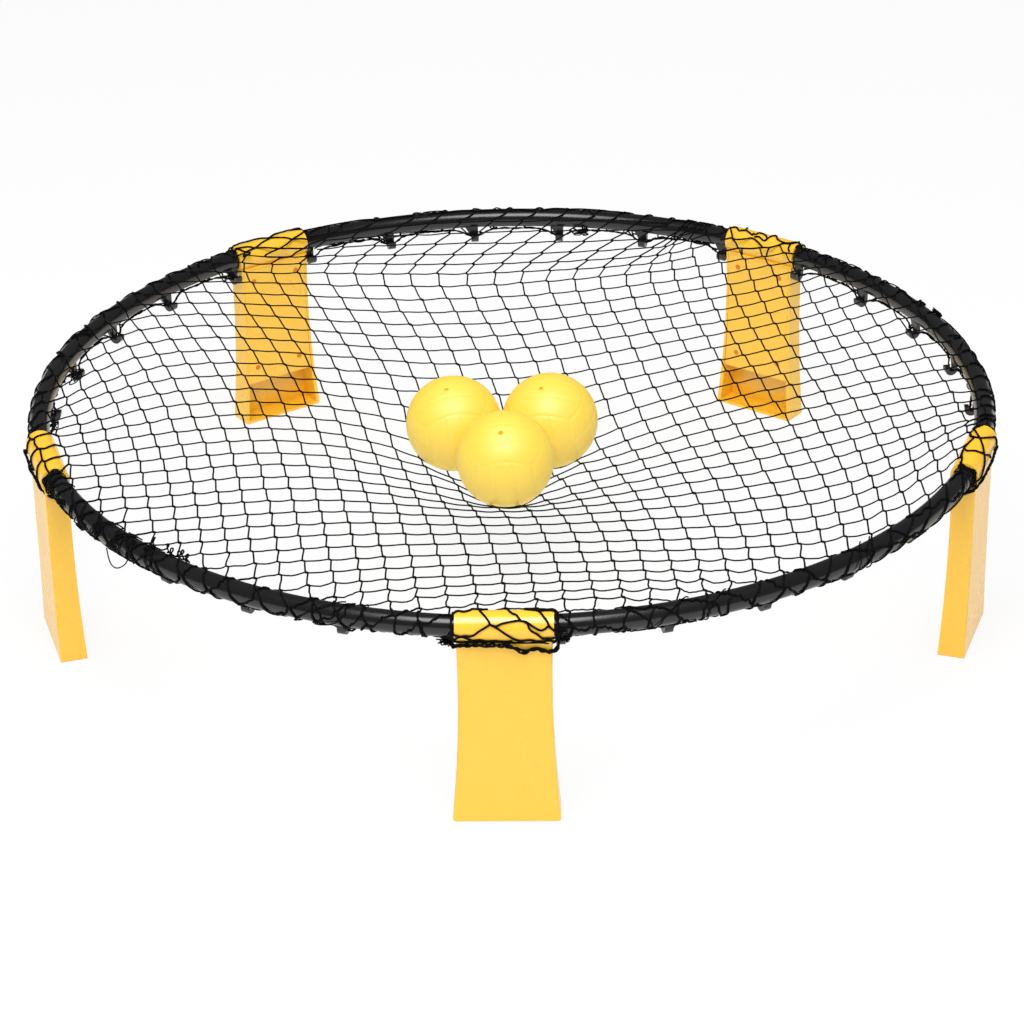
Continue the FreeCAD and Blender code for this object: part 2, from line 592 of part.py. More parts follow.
def make_ball(name, place, valve_way):
    """A hollow ball and its valve, where it lies in the net."""
    turn = f"({place} + sizes.balls_turn)"
    where = {"Base_x": f"(sizes.balls_x + {CLUSTER} * cos({turn}))",
             "Base_y": f"(sizes.balls_y + {CLUSTER} * sin({turn}))",
             "Base_z": "sizes.ball_height"}
    outer = doc.addObject("Part::Sphere", f"{name}_outer")
    bind(outer, Radius="(sizes.ball_size / 2)", **where)
    inner = doc.addObject("Part::Sphere", f"{name}_inner")
    bind(inner, Radius="(sizes.ball_size / 2 - sizes.ball_wall)", **where)
    bore = doc.addObject("Part::Cylinder", f"{name}_bore")
    bore.Placement = Placement(Vector(0, 0, 0), Rotation(Vector(0, 0, 1), valve_way))
    bind(bore, Radius="(sizes.valve_size / 2)", Height="sizes.ball_size", **where)
    shell = add_cut(f"{name}_shell", outer, inner)
    ball = add_cut(name, shell, bore)
    ball.Label = name

    plug = doc.addObject("Part::Cylinder", f"{name}_plug")
    plug.Placement = bore.Placement
    bind(plug, Radius="(sizes.valve_size / 2)", Height="(sizes.ball_size / 2)", **where)
    hollow = doc.addObject("Part::Sphere", f"{name}_hollow")
    bind(hollow, Radius="(sizes.ball_size / 2 - 1.5 * sizes.ball_wall)", **where)
    skin = doc.addObject("Part::Sphere", f"{name}_skin")
    bind(skin, Radius="(sizes.ball_size / 2)", **where)
    valve = doc.addObject("Part::Common", f"{name}_valve_blank")
    valve.Base, valve.Tool = plug, skin
    doc.recompute()
    valve = add_cut(name.replace("ball", "valve"), valve, hollow)
    valve.Label = valve.Name
    return [ball, valve]


def make_all():
    """Every sub-part, in the order that the set is put together."""
    parts = []
    for number in range(LEGS):
        joint = FRONT + STEP * number
        parts.append(make_rim_tube(f"rim_tube_{number + 1}", joint))
        parts.append(make_rim_plug(f"rim_plug_{number + 1}", joint))
        parts.append(make_leg_shell(f"leg_shell_{number + 1}", joint))
        parts.append(make_leg_panel(f"leg_panel_{number + 1}", joint))
        parts.append(make_leg_screws(f"leg_screws_{number + 1}", joint))
    parts += [make_net_border("net_border"), make_net("net")]
    for place, turn, valve_way in BALLS:
        parts += make_ball(f"ball_{place}", turn, valve_way)
    return parts


def check_and_write(parts):
    """Refuse a failed feature or a bad solid, then write each sub-part to its own file."""
    doc.recompute()
    for thing in doc.Objects:
        if "Invalid" in thing.State or "Error" in thing.State:
            raise RuntimeError(f"{thing.Name} failed: {thing.getStatusString()}")
    for part in parts:
        if part.Shape.isNull() or not part.Shape.isValid() or not part.Shape.Solids:
            raise RuntimeError(f"{part.Label} has no good solid")
    os.makedirs("parts", exist_ok=True)
    for part in parts:
        part.Shape.exportStep(f"parts/{part.Label}.step")
        box = part.Shape.BoundBox
        print(f"{part.Label}: {len(part.Shape.Solids)} solid, {part.Shape.Volume / 1000:.1f} cm3, "
              f"x {box.XMin:.1f} {box.XMax:.1f}, y {box.YMin:.1f} {box.YMax:.1f}, "
              f"z {box.ZMin:.1f} {box.ZMax:.1f}")


check_and_write(make_all())
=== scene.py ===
import bisect
import math
import random

import bmesh
import bpy
from mathutils import Matrix, Vector


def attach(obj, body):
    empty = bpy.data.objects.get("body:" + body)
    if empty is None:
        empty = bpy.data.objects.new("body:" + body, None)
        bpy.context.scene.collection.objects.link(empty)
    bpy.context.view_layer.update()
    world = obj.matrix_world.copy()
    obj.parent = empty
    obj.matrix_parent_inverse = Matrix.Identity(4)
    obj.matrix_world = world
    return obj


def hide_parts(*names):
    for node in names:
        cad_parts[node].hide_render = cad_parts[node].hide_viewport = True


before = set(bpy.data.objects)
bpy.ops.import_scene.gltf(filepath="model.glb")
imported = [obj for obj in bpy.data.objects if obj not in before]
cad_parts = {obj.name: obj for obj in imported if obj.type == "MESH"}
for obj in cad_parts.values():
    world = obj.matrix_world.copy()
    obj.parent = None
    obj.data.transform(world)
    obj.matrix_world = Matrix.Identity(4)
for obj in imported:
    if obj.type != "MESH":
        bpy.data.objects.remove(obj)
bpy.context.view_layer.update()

mm = 0.001
tau = 2 * math.pi


# one socket of a node tree: expressions on it add Math nodes, add() puts in any other node
class Wire:
    def __init__(self, tree, socket=None):
        self.tree, self.socket = tree, socket

    def add(self, kind, settings=None, values=None, out=0):
        node = self.tree.nodes.new(kind)
        for name, setting in (settings or {}).items():
            if name == "stops":
                ramp = node.color_ramp.elements
                while len(ramp) < len(setting):
                    ramp.new(1)
                for stop, (place, colour) in zip(ramp, setting):
                    stop.position, stop.color = place, (*colour, 1)
            else:
                setattr(node, name, setting)
        for name, value in (values or {}).items():
            if isinstance(value, Wire):
                self.tree.links.new(value.socket, node.inputs[name])
            else:
                node.inputs[name].default_value = value
        return Wire(self.tree, node.outputs[out] if len(node.outputs) else None)

    def maths(self, operation, *others):
        return self.add("ShaderNodeMath", {"operation": operation}, dict(enumerate(others)))

    def __add__(self, other): return self.maths("ADD", self, other)
    def __radd__(self, other): return self.maths("ADD", other, self)
    def __sub__(self, other): return self.maths("SUBTRACT", self, other)
    def __rsub__(self, other): return self.maths("SUBTRACT", other, self)
    def __mul__(self, other): return self.maths("MULTIPLY", self, other)
    def __rmul__(self, other): return self.maths("MULTIPLY", other, self)
    def __truediv__(self, other): return self.maths("DIVIDE", self, other)

    def noise(self, where, scale, detail=2.0, roughness=0.5):
        return self.add("ShaderNodeTexNoise", None,
                        {"Vector": where, "Scale": scale, "Detail": detail, "Roughness": roughness})

    def blend(self, factor, first, second):
        return self.add("ShaderNodeMix", {"data_type": "RGBA"},
                        {0: factor, 6: (*first, 1), 7: (*second, 1)}, out=2)

    def bump(self, height, strength, distance):
        return self.add("ShaderNodeBump", None,
                        {"Height": height, "Strength": strength, "Distance": distance})


# an sRGB colour from 0 to 255, as a scene-linear one
def paint(red, green, blue):
    return tuple(((v / 255 + 0.055) / 1.055) ** 2.4 if v > 10 else v / 255 / 12.92
                 for v in (red, green, blue))


def newMaterial(name):
    material = bpy.data.materials.new(name)
    material.use_nodes = True
    tree = material.node_tree
    tree.nodes.clear()
    wire = Wire(tree)
    where = wire.add("ShaderNodeTexCoord", out=3)
    return material, wire, where


def finishMaterial(wire, values):
    shader = wire.add("ShaderNodeBsdfPrincipled", None, values)
    wire.add("ShaderNodeOutputMaterial", None, {"Surface": shader})


# moulded or painted skin: two close tones in soft clouds, uneven gloss and a fine orange-peel bump
def skinMaterial(name, look):
    material, wire, where = newMaterial(name)
    cloud = wire.noise(where, look["cloudScale"], 3)
    fine = wire.noise(where, look["peelScale"], 3)
    finishMaterial(wire, {
        "Base Color": wire.blend(cloud, look["dark"], look["light"]),
        "Roughness": look["gloss"] + (cloud - 0.5) * look["glossSpread"],
        "Normal": wire.bump(fine, look["peel"], look["peelDepth"]),
        "Metallic": look.get("metal", 0.0),
        "IOR": look.get("ior", 1.5),
    })
    return material


finishes = {
    "rimBlack": dict(dark=paint(17, 17, 19), light=paint(23, 23, 25), cloudScale=9, gloss=0.24,
                     glossSpread=0.08, peelScale=900, peel=0.06, peelDepth=0.0002, ior=1.58),
    "hookBlack": dict(dark=paint(9, 9, 9), light=paint(14, 14, 14), cloudScale=30, gloss=0.45,
                      glossSpread=0.1, peelScale=1400, peel=0.15, peelDepth=0.0002, ior=1.35),
    "legYellow": dict(dark=paint(255, 196, 44), light=paint(255, 201, 54), cloudScale=14, gloss=0.27,
                      glossSpread=0.08, peelScale=1800, peel=0.1, peelDepth=0.00015, ior=1.7),
    "ballYellow": dict(dark=paint(255, 215, 58), light=paint(255, 220, 70), cloudScale=22, gloss=0.52,
                       glossSpread=0.1, peelScale=1300, peel=0.16, peelDepth=0.0002, ior=1.95),
    "valveOrange": dict(dark=paint(222, 150, 3), light=paint(232, 164, 10), cloudScale=300, gloss=0.75,
                        glossSpread=0.1, peelScale=3000, peel=0.1, peelDepth=0.0001, ior=1.25),
    # screw heads: a yellow zinc tone, deepened to orange as painted shade of the screw holes they sit in
    "screwSteel": dict(dark=paint(216, 122, 8), light=paint(238, 144, 18), cloudScale=500, gloss=0.42,
                       glossSpread=0.15, peelScale=4000, peel=0.1, peelDepth=0.0001, metal=0.35),
}
materials = {name: skinMaterial(name, look) for name, look in finishes.items()}


# black twisted cord: the lay runs round it, read from its own length and turn
def cordMaterial(name, look):
    material, wire, where = newMaterial(name)
    lay = wire.add("ShaderNodeAttribute", {"attribute_name": "cordLay"}, out=1)
    along = wire.add("ShaderNodeSeparateXYZ", None, {"Vector": lay})
    around = Wire(along.tree, along.socket.node.outputs[1])
    phase = along * (tau / look["layLength"]) + around * (tau * look["strands"])
    twist = wire.maths("SINE", phase)
    fluff = wire.noise(where, look["fluffScale"], 4, 0.7)
    finishMaterial(wire, {
        "Base Color": wire.blend(fluff, look["dark"], look["light"]),
        "Roughness": look["gloss"] + (fluff - 0.5) * look["glossSpread"],
        "Normal": wire.bump(twist * 0.5 + fluff * 0.5, look["relief"], look["depth"]),
        "IOR": look["ior"],
    })
    return material


cordLook = {"layLength": 0.0042, "strands": 3, "fluffScale": 900, "dark": paint(4, 4, 4),
            "light": paint(13, 12, 12), "gloss": 0.75, "glossSpread": 0.2, "relief": 0.8, "depth": 0.0003,
            "ior": 1.25}
materials["netCord"] = cordMaterial("netCord", cordLook)

slotFinish = {"rim_black": "rimBlack", "plug_black": "hookBlack", "leg_yellow": "legYellow",
              "screw_steel": "screwSteel", "net_cord": "netCord", "ball_yellow": "ballYellow",
              "valve_orange": "valveOrange"}
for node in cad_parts.values():
    for place in node.material_slots:
        base = place.material.name.split(".")[0] if place.material else ""
        if base in slotFinish:
            place.material = materials[slotFinish[base]]
print("finishes:", len(materials))


# ---- net: marks that fix where its knots lie, measured along its own rows and columns, in millimetres
netLook = {
    "columns": (-17, -10, -3, 4, 11, 18),
    "rows": {
        18: ((-493, 405), (-377, 325), (-247, 476), (-22, 515), (203, 488), (359, 676)),
        11: ((-454, 39), (-378, 240), (-188, 267), (12, 285), (201, 302), (364, 368)),
        4: ((-435, -40), (-300, 77), (-123, 114), (62, 126), (239, 132), (402, 166)),
        -3: ((-392, -184), (-244, -112), (-76, -66), (108, -71), (282, -70), (438, -37)),
        -10: ((-361, -347), (-209, -325), (-41, -285), (142, -291), (306, -291), (445, -110)),
        -17: ((-303, -627), (-192, -477), (-27, -443), (148, -439), (288, -411), (543, -214)),
    },
    "rimRadius": 468, "rimHeight": 195, "tubeRadius": 10, "sleeveRadius": 14, "sleeveAxis": 466.99,
    "sleeveHalf": 43.25, "hookSide": 49.25, "hookRadius": 463, "hooksPerTube": 6, "legs": 5,
    "topHeight": 205.6, "dishSlope": 54.7, "dishRadius": 467, "dishCentre": (-9, -0.2), "lowest": 102.6,
    "softness": 2.5, "ballEdge": 80, "ballContact": 24,
    "contact": 463.9, "contactTurn": 112, "wrapLength": 42.6,
    "crease": {"start": 322, "width": 8, "shift": 0.55, "from": (-385, -335), "to": (110, 180)},
    "squeeze": {"start": 325, "width": 7, "share": 0.36, "from": (-330, -250), "to": (150, 240)},
    "rowSqueezes": ((126, 8, 388, 0.18), (54, 8, 416, 0.28)),
    "core": 410, "reach": 24, "coreReach": 18, "cell": (23.5, 29.5), "backCell": 19, "backStart": 300,
    "known": {"within": 9, "radius": 440, "share": 0.6}, "uneven": (0.8, 1.6),
    "cord": 0.84, "thinCord": 0.7, "sleeveCord": 1.0, "curlCord": 0.8, "tangleCord": 0.62, "borderCord": 1.0,
    "backBorderCord": 0.68, "knot": 1.3, "bottomKnot": 1.7, "knotShift": (1.3, -0.75),
    "tieReach": 21, "firstTie": 24, "backTuck": 0.9, "seed": 4,
}
sleeveAxis, rimRadius, rimHeight = (netLook[name] for name in ("sleeveAxis", "rimRadius", "rimHeight"))
contact = netLook["contact"]
ballLook = {
    "radius": 48.5, "height": 152, "cluster": 56.23, "centre": (-9, -0.2), "turn": 3.2,
    "places": {"front": 270, "left": 150, "right": 30}, "stripTurns": {"front": 1.5, "left": 9, "right": -6},
    "valveWays": {"front": (-0.08, -0.51, 0.86), "left": (-0.13, -0.31, 0.94), "right": (-0.18, -0.35, 0.92)},
}


def ballCentre(name):
    angle = math.radians(ballLook["places"][name] + ballLook["turn"])
    x, y = ballLook["centre"]
    return Vector((x + ballLook["cluster"] * math.cos(angle), y + ballLook["cluster"] * math.sin(angle),
                   ballLook["height"]))


ballCentres = [ballCentre(name) for name in ballLook["places"]]


def weights(t, marks):
    found = []
    for mark in marks:
        weight = 1.0
        for other in marks:
            if other != mark:
                weight *= (t - other) / (mark - other)
        found.append(weight)
    return found


def smooth(low, high, value):
    t = min(max((value - low) / (high - low), 0), 1)
    return t * t * (3 - 2 * t)


# how far y lies past a look's start, eased in, between its two borders across
def pastStart(y, x, look):
    width = look["width"]
    far = width * math.log1p(math.exp(min((y - look["start"]) / width, 40)))
    return far * smooth(*look["from"], x) * (1 - smooth(*look["to"], x))


# where column i and row j of the mesh cross, seen from above
def meshPoint(i, j):
    across = weights(i, netLook["columns"])
    x = y = 0.0
    for weight, row in zip(weights(j, netLook["rows"]), netLook["rows"].values()):
        for part, mark in zip(across, row):
            x += weight * part * mark[0]
            y += weight * part * mark[1]
    crease, squeeze = netLook["crease"], netLook["squeeze"]  # the fold near the back rim, and its closer rows
    x += crease["shift"] * pastStart(y, x, crease)
    return x, y - squeeze["share"] * pastStart(y, x, squeeze)


# the rows lie closer just before the two back legs: (degrees round the ring, spread, from what radius, share)
def drawnIn(point):
    r, ring = point.length, math.degrees(math.atan2(point.y, point.x))
    for middle, spread, start, share in netLook["rowSqueezes"]:
        weight = math.exp(-((ring - middle) / spread) ** 2)
        r -= weight * share * max(min(r, 500) - start, 0)
    return point * (r / max(point.length, 1))


# how far a place lies outside the triangle between the three balls' middles
def besideBalls(x, y):
    point = Vector((x, y))
    corners = [centre.xy for centre in ballCentres]
    nearest, inside = 1e9, True
    for start, end in zip(corners, corners[1:] + corners[:1]):
        side = end - start
        part = min(max((point - start).dot(side) / side.length_squared, 0), 1)
        nearest = min(nearest, (point - start - side * part).length)
        outer = Vector((side.y, -side.x))
        outer *= 1 if outer.dot(start - sum(corners, Vector((0, 0))) / 3) > 0 else -1
        inside = inside and (point - start).dot(outer) < 0
    return 0.0 if inside else nearest


def netHeight(x, y):
    outwards = 1 - min(math.hypot(x, y) / netLook["dishRadius"], 1)
    cx, cy = netLook["dishCentre"]
    r = max(math.hypot(x - cx * outwards, y - cy * outwards), 1)
    edge = netLook["ballEdge"]
    if r < 6 * edge:  # the net leans on the balls, so it hangs less between them
        r += (besideBalls(x, y) - netLook["ballContact"] + edge - r) * min(1, (edge / r) ** 2)
    z = netLook["topHeight"] - netLook["dishSlope"] * math.log(netLook["dishRadius"] / r) - netLook["lowest"]
    z = netLook["lowest"] + netLook["softness"] * math.log1p(math.exp(min(z / netLook["softness"], 40)))
    reach = ballLook["radius"] + netLook["cord"] + 0.15
    for centre in ballCentres:
        away = math.hypot(x - centre.x, y - centre.y)
        if away < reach:
            z = min(z, centre.z - math.sqrt(reach * reach - away * away))
    return z


def onNet(x, y):
    return Vector((x, y, netHeight(x, y)))


def ringPoint(ring, r, z):
    return Vector((r * math.cos(ring), r * math.sin(ring), z))


def legRing(leg):
    return math.radians(270 + 72 * leg)


# the nearest leg, counted from the front one, and the angle from it
def nearestLeg(ring):
    step = tau / netLook["legs"]
    offset = (ring - math.radians(270) + step / 2) % step - step / 2
    return round((ring - offset - math.radians(270)) / step) % netLook["legs"], offset


# a point on the tube, or on a leg's sleeve: angle round the ring, angle round the tube (0 outwards, 90 up)
def wrapPoint(ring, turn, lift):
    offset = nearestLeg(ring)[1]
    along = sleeveAxis * math.tan(offset)
    sleeved = 1 - smooth(netLook["sleeveHalf"] - 0.5, netLook["sleeveHalf"] + 3.0, abs(along))
    reach = netLook["tubeRadius"] + (netLook["sleeveRadius"] - netLook["tubeRadius"]) * sleeved + lift
    axis = rimRadius + (sleeveAxis / math.cos(offset) - rimRadius) * sleeved
    return ringPoint(ring, axis + reach * math.cos(turn), rimHeight + reach * math.sin(turn))


# a thread that would cut through the tube or a sleeve is pushed out onto it
def outOfTube(point, lift):
    ring = math.atan2(point.y, point.x)
    top = wrapPoint(ring, math.radians(90), lift)
    axis, reach = math.hypot(top.x, top.y), top.z - rimHeight
    outwards, upwards = math.hypot(point.x, point.y) - axis, point.z - rimHeight
    away = math.hypot(outwards, upwards)
    if away >= reach or away < 1:
        return point
    return ringPoint(ring, axis + outwards * reach / away, rimHeight + upwards * reach / away)


# the border's line: (mm from the nearest hook's middle, angle round the tube, mm from its axis)
borderRun = ((0, -118, 19.6), (3, -118, 19.6), (8, -117, 17.6), (14, -115, 14.4), (24, -112, 12.6),
             (49, -110, 12.2))
# and where it passes a leg: (mm from the leg's middle, the same)
borderTurn = ((49.25, -118, 19.6), (47, -104, 15.0), (45, -68, 13.8), (43.4, -52, 15.6), (38, -52, 17.8),
              (20, -46, 16.9), (0, -50, 17.6))


# the three legs that have the border's line of their own
legBorders = {
    0: ((-49.25, -118, 19.6), (-47, -100, 16.5), (-44, -56, 16.2), (-36.7, -45.5, 17.2), (-29.7, -44.4, 16.9),
        (-22.8, -43.2, 16.6), (-15.8, -41.6, 16.2), (-8.9, -42.4, 16.4), (-2, -43.8, 16.8), (3.2, -47.1, 17.6),
        (8.4, -50.4, 18.6), (13.6, -53.2, 19.8), (18, -56.4, 21.4), (22.3, -53.3, 19.8), (27.5, -52.4, 19.5),
        (32.7, -56.2, 21.4), (38, -58.2, 22.4), (43.1, -56, 20.6), (45.7, -60, 17.4), (49.25, -118, 19.6)),
    1: ((-49.25, -118, 19.6), (-47, -90, 15.6), (-44, -48, 15.7), (-34, -36, 15.7), (-20, -24, 15.7),
        (-5, -14, 15.7), (12, -8, 15.7), (24, -6, 15.7), (36, -12, 15.7), (43, -45, 15.2), (46, -95, 14.5),
        (49.25, -118, 19.6)),
    4: ((-49.25, -118, 19.6), (-46, -70, 14.5), (-42, -22, 15.4), (-36, -10, 15.6), (-20, -18, 15.6),
        (0, -28, 15.8), (20, -38, 16), (36, -50, 16.2), (43, -62, 16.2), (46, -95, 15.0), (49.25, -118, 19.6)),
}


def readTable(table, value):
    rows = sorted(table)
    place = bisect.bisect([row[0] for row in rows], value)
    if place == 0:
        return rows[0][1:]
    if place == len(rows):
        return rows[-1][1:]
    low, high = rows[place - 1], rows[place]
    part = smooth(low[0], high[0], value)
    return [a + (b - a) * part for a, b in zip(low[1:], high[1:])]


hookSpread = math.radians(72) - 2 * netLook["hookSide"] / netLook["hookRadius"]
hookStep = hookSpread / (netLook["hooksPerTube"] - 1)


def borderPlace(ring):
    leg, offset = nearestLeg(ring)
    along = abs(offset) * rimRadius
    if along < netLook["hookSide"] and leg in legBorders:
        turn, reach = readTable(legBorders[leg], offset * sleeveAxis)
    elif along < netLook["hookSide"]:
        turn, reach = readTable(borderTurn, along)
    else:
        past = (abs(offset) - netLook["hookSide"] / netLook["hookRadius"]) % hookStep
        past = min(past, hookStep - past) * rimRadius
        turn, reach = readTable(borderRun, past)
        reach -= netLook["backTuck"] * smooth(0, 0.5, math.sin(ring)) * smooth(8, 20, past)
    turn = math.radians(turn)
    return ringPoint(ring, rimRadius + reach * math.cos(turn), rimHeight + reach * math.sin(turn)), turn


def borderPoint(ring, sideways, upwards):
    point, turn = borderPlace(ring)
    out = ringPoint(ring, 1, 0)
    normal = out * math.cos(turn) + Vector((0, 0, math.sin(turn)))
    across = out * -math.sin(turn) + Vector((0, 0, math.cos(turn)))
    return point + normal * upwards + across * sideways


# a place on the rim seen from above and unrolled: inside the contact line it lies on the net, outside it goes
# over the tube or the sleeve and down to the border
def onMesh(x, y, upwards=0.0):
    rho, ring = math.hypot(x, y), math.atan2(y, x)
    if rho <= contact:
        point = onNet(x, y)
        away = abs(nearestLeg(ring)[1]) * sleeveAxis
        rise = 1 - smooth(netLook["sleeveHalf"], netLook["sleeveHalf"] + 5, away)
        point.z += 4 * rise * smooth(436, contact, rho) + upwards
        return point
    part = (rho - contact) / netLook["wrapLength"]
    edge, edgeTurn = borderPlace(ring)
    first = math.radians(netLook["contactTurn"])
    point = wrapPoint(ring, first + part * (edgeTurn - first), netLook["cord"] + 0.1 + upwards)
    if part < 0.75:
        return point
    return point.lerp(edge, smooth(0.75, 1, part)) if part < 1 else edge


dice = random.Random(netLook["seed"])
meshReach, known = netLook["reach"], netLook["known"]
numbers = range(-meshReach, meshReach + 1)
raw = {(i, j): Vector(meshPoint(i, j)) for i in numbers for j in numbers}
places = {key: point for key, point in raw.items()
          if point.length < netLook["core"] and max(map(abs, key)) <= netLook["coreReach"]}
outside = contact + netLook["wrapLength"]
ways = ((1, 0), (-1, 0), (0, 1), (0, -1))
while True:  # the mesh grows outwards from its fitted core, a cell at a time
    found = {}
    for i, j in places:
        for di, dj in ways:
            key = (i + di, j + dj)
            if key in places or key in found or places[i, j].length > outside:
                continue
            guesses = []
            for ei, ej in ways:
                first, second, third = (places.get((key[0] - n * ei, key[1] - n * ej)) for n in (1, 2, 3))
                if first is not None and second is not None:
                    step = first - second if third is None else (first - third) / 2
                    low, high = netLook["cell"]
                    low = netLook["backCell"] if first.y > netLook["backStart"] else low
                    guesses.append(first + step.normalized() * min(max(step.length, low), high))
            if not guesses:
                continue
            guess = sum(guesses, Vector((0, 0))) / len(guesses)
            mark = raw.get(key)
            if mark is not None and (mark - guess).length < known["within"] and mark.length < known["radius"]:
                guess = guess * (1 - known["share"]) + mark * known["share"]
            found[key] = guess
    if not found:
        break
    places.update(found)
for key, point in places.items():
    leg, offset = nearestLeg(math.atan2(point.y, point.x))
    calm = smooth(0.12, 0.2, abs(offset)) if leg in (2, 3) else 1
    uneven, unevenRim = netLook["uneven"]
    uneven += unevenRim * smooth(400, 460, point.length) * calm
    point = drawnIn(point)
    point.x += dice.uniform(-1, 1) * uneven
    point.y += dice.uniform(-1, 1) * uneven
    places[key] = point
# every knot is drawn out: threads from the left and from behind meet one end, the other two leave the other
half = Vector(netLook["knotShift"])
endsOf = {key: (point - half, point + half) for key, point in places.items()}


# each sleeve has threads of its own, from a radius that may slant along it: (radius, slant)
ownZones = ((467, 0), (467, 0), (433, -0.7), (432, 0.53), (467, 0))


def onOwnSleeve(point):
    leg, offset = nearestLeg(math.atan2(point.y, point.x))
    along = offset * sleeveAxis
    radius, slant = ownZones[leg]
    return abs(along) < netLook["sleeveHalf"] + 3 and point.length > radius + slant * along


knots = {key: (onMesh(*endsOf[key][0]), onMesh(*endsOf[key][1])) for key, point in places.items()
         if point.length < outside - 5 and not onOwnSleeve(point)}
print("knots in the net:", len(knots))


slackLook = {"row": (0.9, 1.0, 1), "column": (0.3, 0.4, 0.6), "front": 1.8, "frontRight": 1.3, "onRim": 3.2,
             "bow": (-0.4, 1), "wave": (-0.5, 0.5), "drop": (0.2, 1.1), "kinkFrom": 330,
             "rowKink": 0.25, "columnKink": 0.12, "backKink": 0.1}


# how slack a stretch of thread is, by where it lies
def slackAt(x, y, isRow):
    r = math.hypot(x, y)
    front = smooth(300, 430, -y) * smooth(380, 450, r)
    frontRight = smooth(60, 200, x) * smooth(280, 420, -y)
    onRim = smooth(contact - 6, contact + 8, r)
    base, infront, wound = slackLook["row" if isRow else "column"]
    slack = (slackLook["front"] * front + slackLook["frontRight"] * frontRight) * infront
    return base + slack + slackLook["onRim"] * onRim * wound


borderKnots = []


def stretch(start, end, isRow):
    middle = (start + end) / 2
    slack = slackAt(middle.x, middle.y, isRow)
    parts = 10 if max(start.length, end.length) > contact - 12 else 5
    way = (end - start).normalized()
    side = Vector((-way.y, way.x))
    if isRow and side.dot(middle) < 0:
        side = -side
    bow, wave, drop = (slack * dice.uniform(*slackLook[name]) for name in ("bow", "wave", "drop"))
    kink = slackLook["backKink"]
    if middle.length > slackLook["kinkFrom"] and middle.y < 0:
        kink = slackLook["rowKink" if isRow else "columnKink"] * slack
    line = []
    for number in range(parts):
        u = number / parts
        jog = kink * dice.uniform(-1, 1) if number else 0
        shift = bow * math.sin(math.pi * u) + wave * math.sin(tau * u) + jog
        flat = start.lerp(end, u) + side * shift
        if flat.length >= outside:
            return line + [flat.normalized() * (outside + 0.1)], True
        line.append(flat)
    drops = [drop * math.sin(math.pi * number / parts) * (1 - smooth(445, 460, flat.length))
             for number, flat in enumerate(line)]
    return [(flat.x, flat.y, -low) for flat, low in zip(line, drops)], False


looseEnds = []


def followLine(isRow, number):
    key = (lambda t: (t, number)) if isRow else (lambda t: (number, t))
    marks = [t for t in numbers if key(t) in places]
    for low, high in zip(marks, marks[1:]):
        first, second = endsOf[key(low)], endsOf[key(high)]
        start, end = (first[1], second[0]) if isRow else (first[0], second[1])
        if high - low > 1 or min(start.length, end.length) > outside:
            continue
        leg = nearestLeg(math.atan2(start.y + end.y, start.x + end.x))[0]
        touches = leg in (1, 4) and (onOwnSleeve(start) or onOwnSleeve(end))
        if touches or onOwnSleeve((start + end) / 2):
            looseEnds.extend(onMesh(*point) for point in (start, end) if not onOwnSleeve(point))
            continue
        if start.length > outside:
            start, end = end, start
        line, cut = stretch(start, end, isRow)
        points = [onMesh(flat[0], flat[1], flat[2] if len(flat) > 2 else 0.0) for flat in line]
        if cut:
            borderKnots.append(points[-1])
            edgeLines.append(points)
        else:
            points.append(onMesh(*end))
            onRim = max(start.length, end.length) > contact
            (edgeLines if onRim else rowLines if isRow else columnLines).append(points)


rowLines, columnLines, edgeLines = [], [], []
for number in numbers:
    followLine(True, number)
    followLine(False, number)
print("stretches:", len(rowLines), "rows,", len(columnLines), "columns,", len(edgeLines), "over the rim")


# a smooth line through marks, closed or open
def smoothLine(marks, parts=5, closed=False):
    line = []
    count = len(marks)
    for number in range(count if closed else count - 1):
        picks = [number + step for step in (-1, 0, 1, 2)]
        p0, p1, p2, p3 = [marks[pick % count if closed else min(max(pick, 0), count - 1)] for pick in picks]
        for part in range(parts):
            t = part / parts
            line.append(0.5 * ((2 * p1) + (p2 - p0) * t + (2 * p0 - 5 * p1 + 4 * p2 - p3) * t * t
                               + (3 * p1 - p0 - 3 * p2 + p3) * t ** 3))
    return line + [marks[0] if closed else marks[-1]]


# the border: two twisted strands and a loose third, thinner behind: (mm off its middle, turns, unevenness)
borderStrands = ((1.0, 210, 0.3), (1.0, 210, 0.3), (2.1, 97, 1.3))
border, backBorder = [], []
steps = 1400
for strand, (reach, turns, noise) in enumerate(borderStrands):
    line = []
    shake = random.Random(30 + strand)
    drift = [shake.uniform(-1, 1) for _ in range(steps // 4 + 2)]
    for number in range(steps + 1):
        ring = tau * (number % steps) / steps
        spin = turns * ring + strand * math.pi
        part = number % 4 / 4
        loose = drift[number // 4] * (1 - part) + drift[(number // 4 + 1) % (steps // 4)] * part
        leg, offset = nearestLeg(ring)
        snug = smooth(0.08, 0.12, abs(offset)) if leg in (1, 4) else 1
        amount = (reach + noise * loose) * (1 - 0.6 * smooth(0, 0.3, math.sin(ring))) * (0.5 + 0.5 * snug)
        line.append(borderPoint(ring, amount * math.cos(spin), 0.6 + amount * math.sin(spin)))
    half = steps // 2
    border.append(line[half:])
    backBorder.append(line[:half + 1])

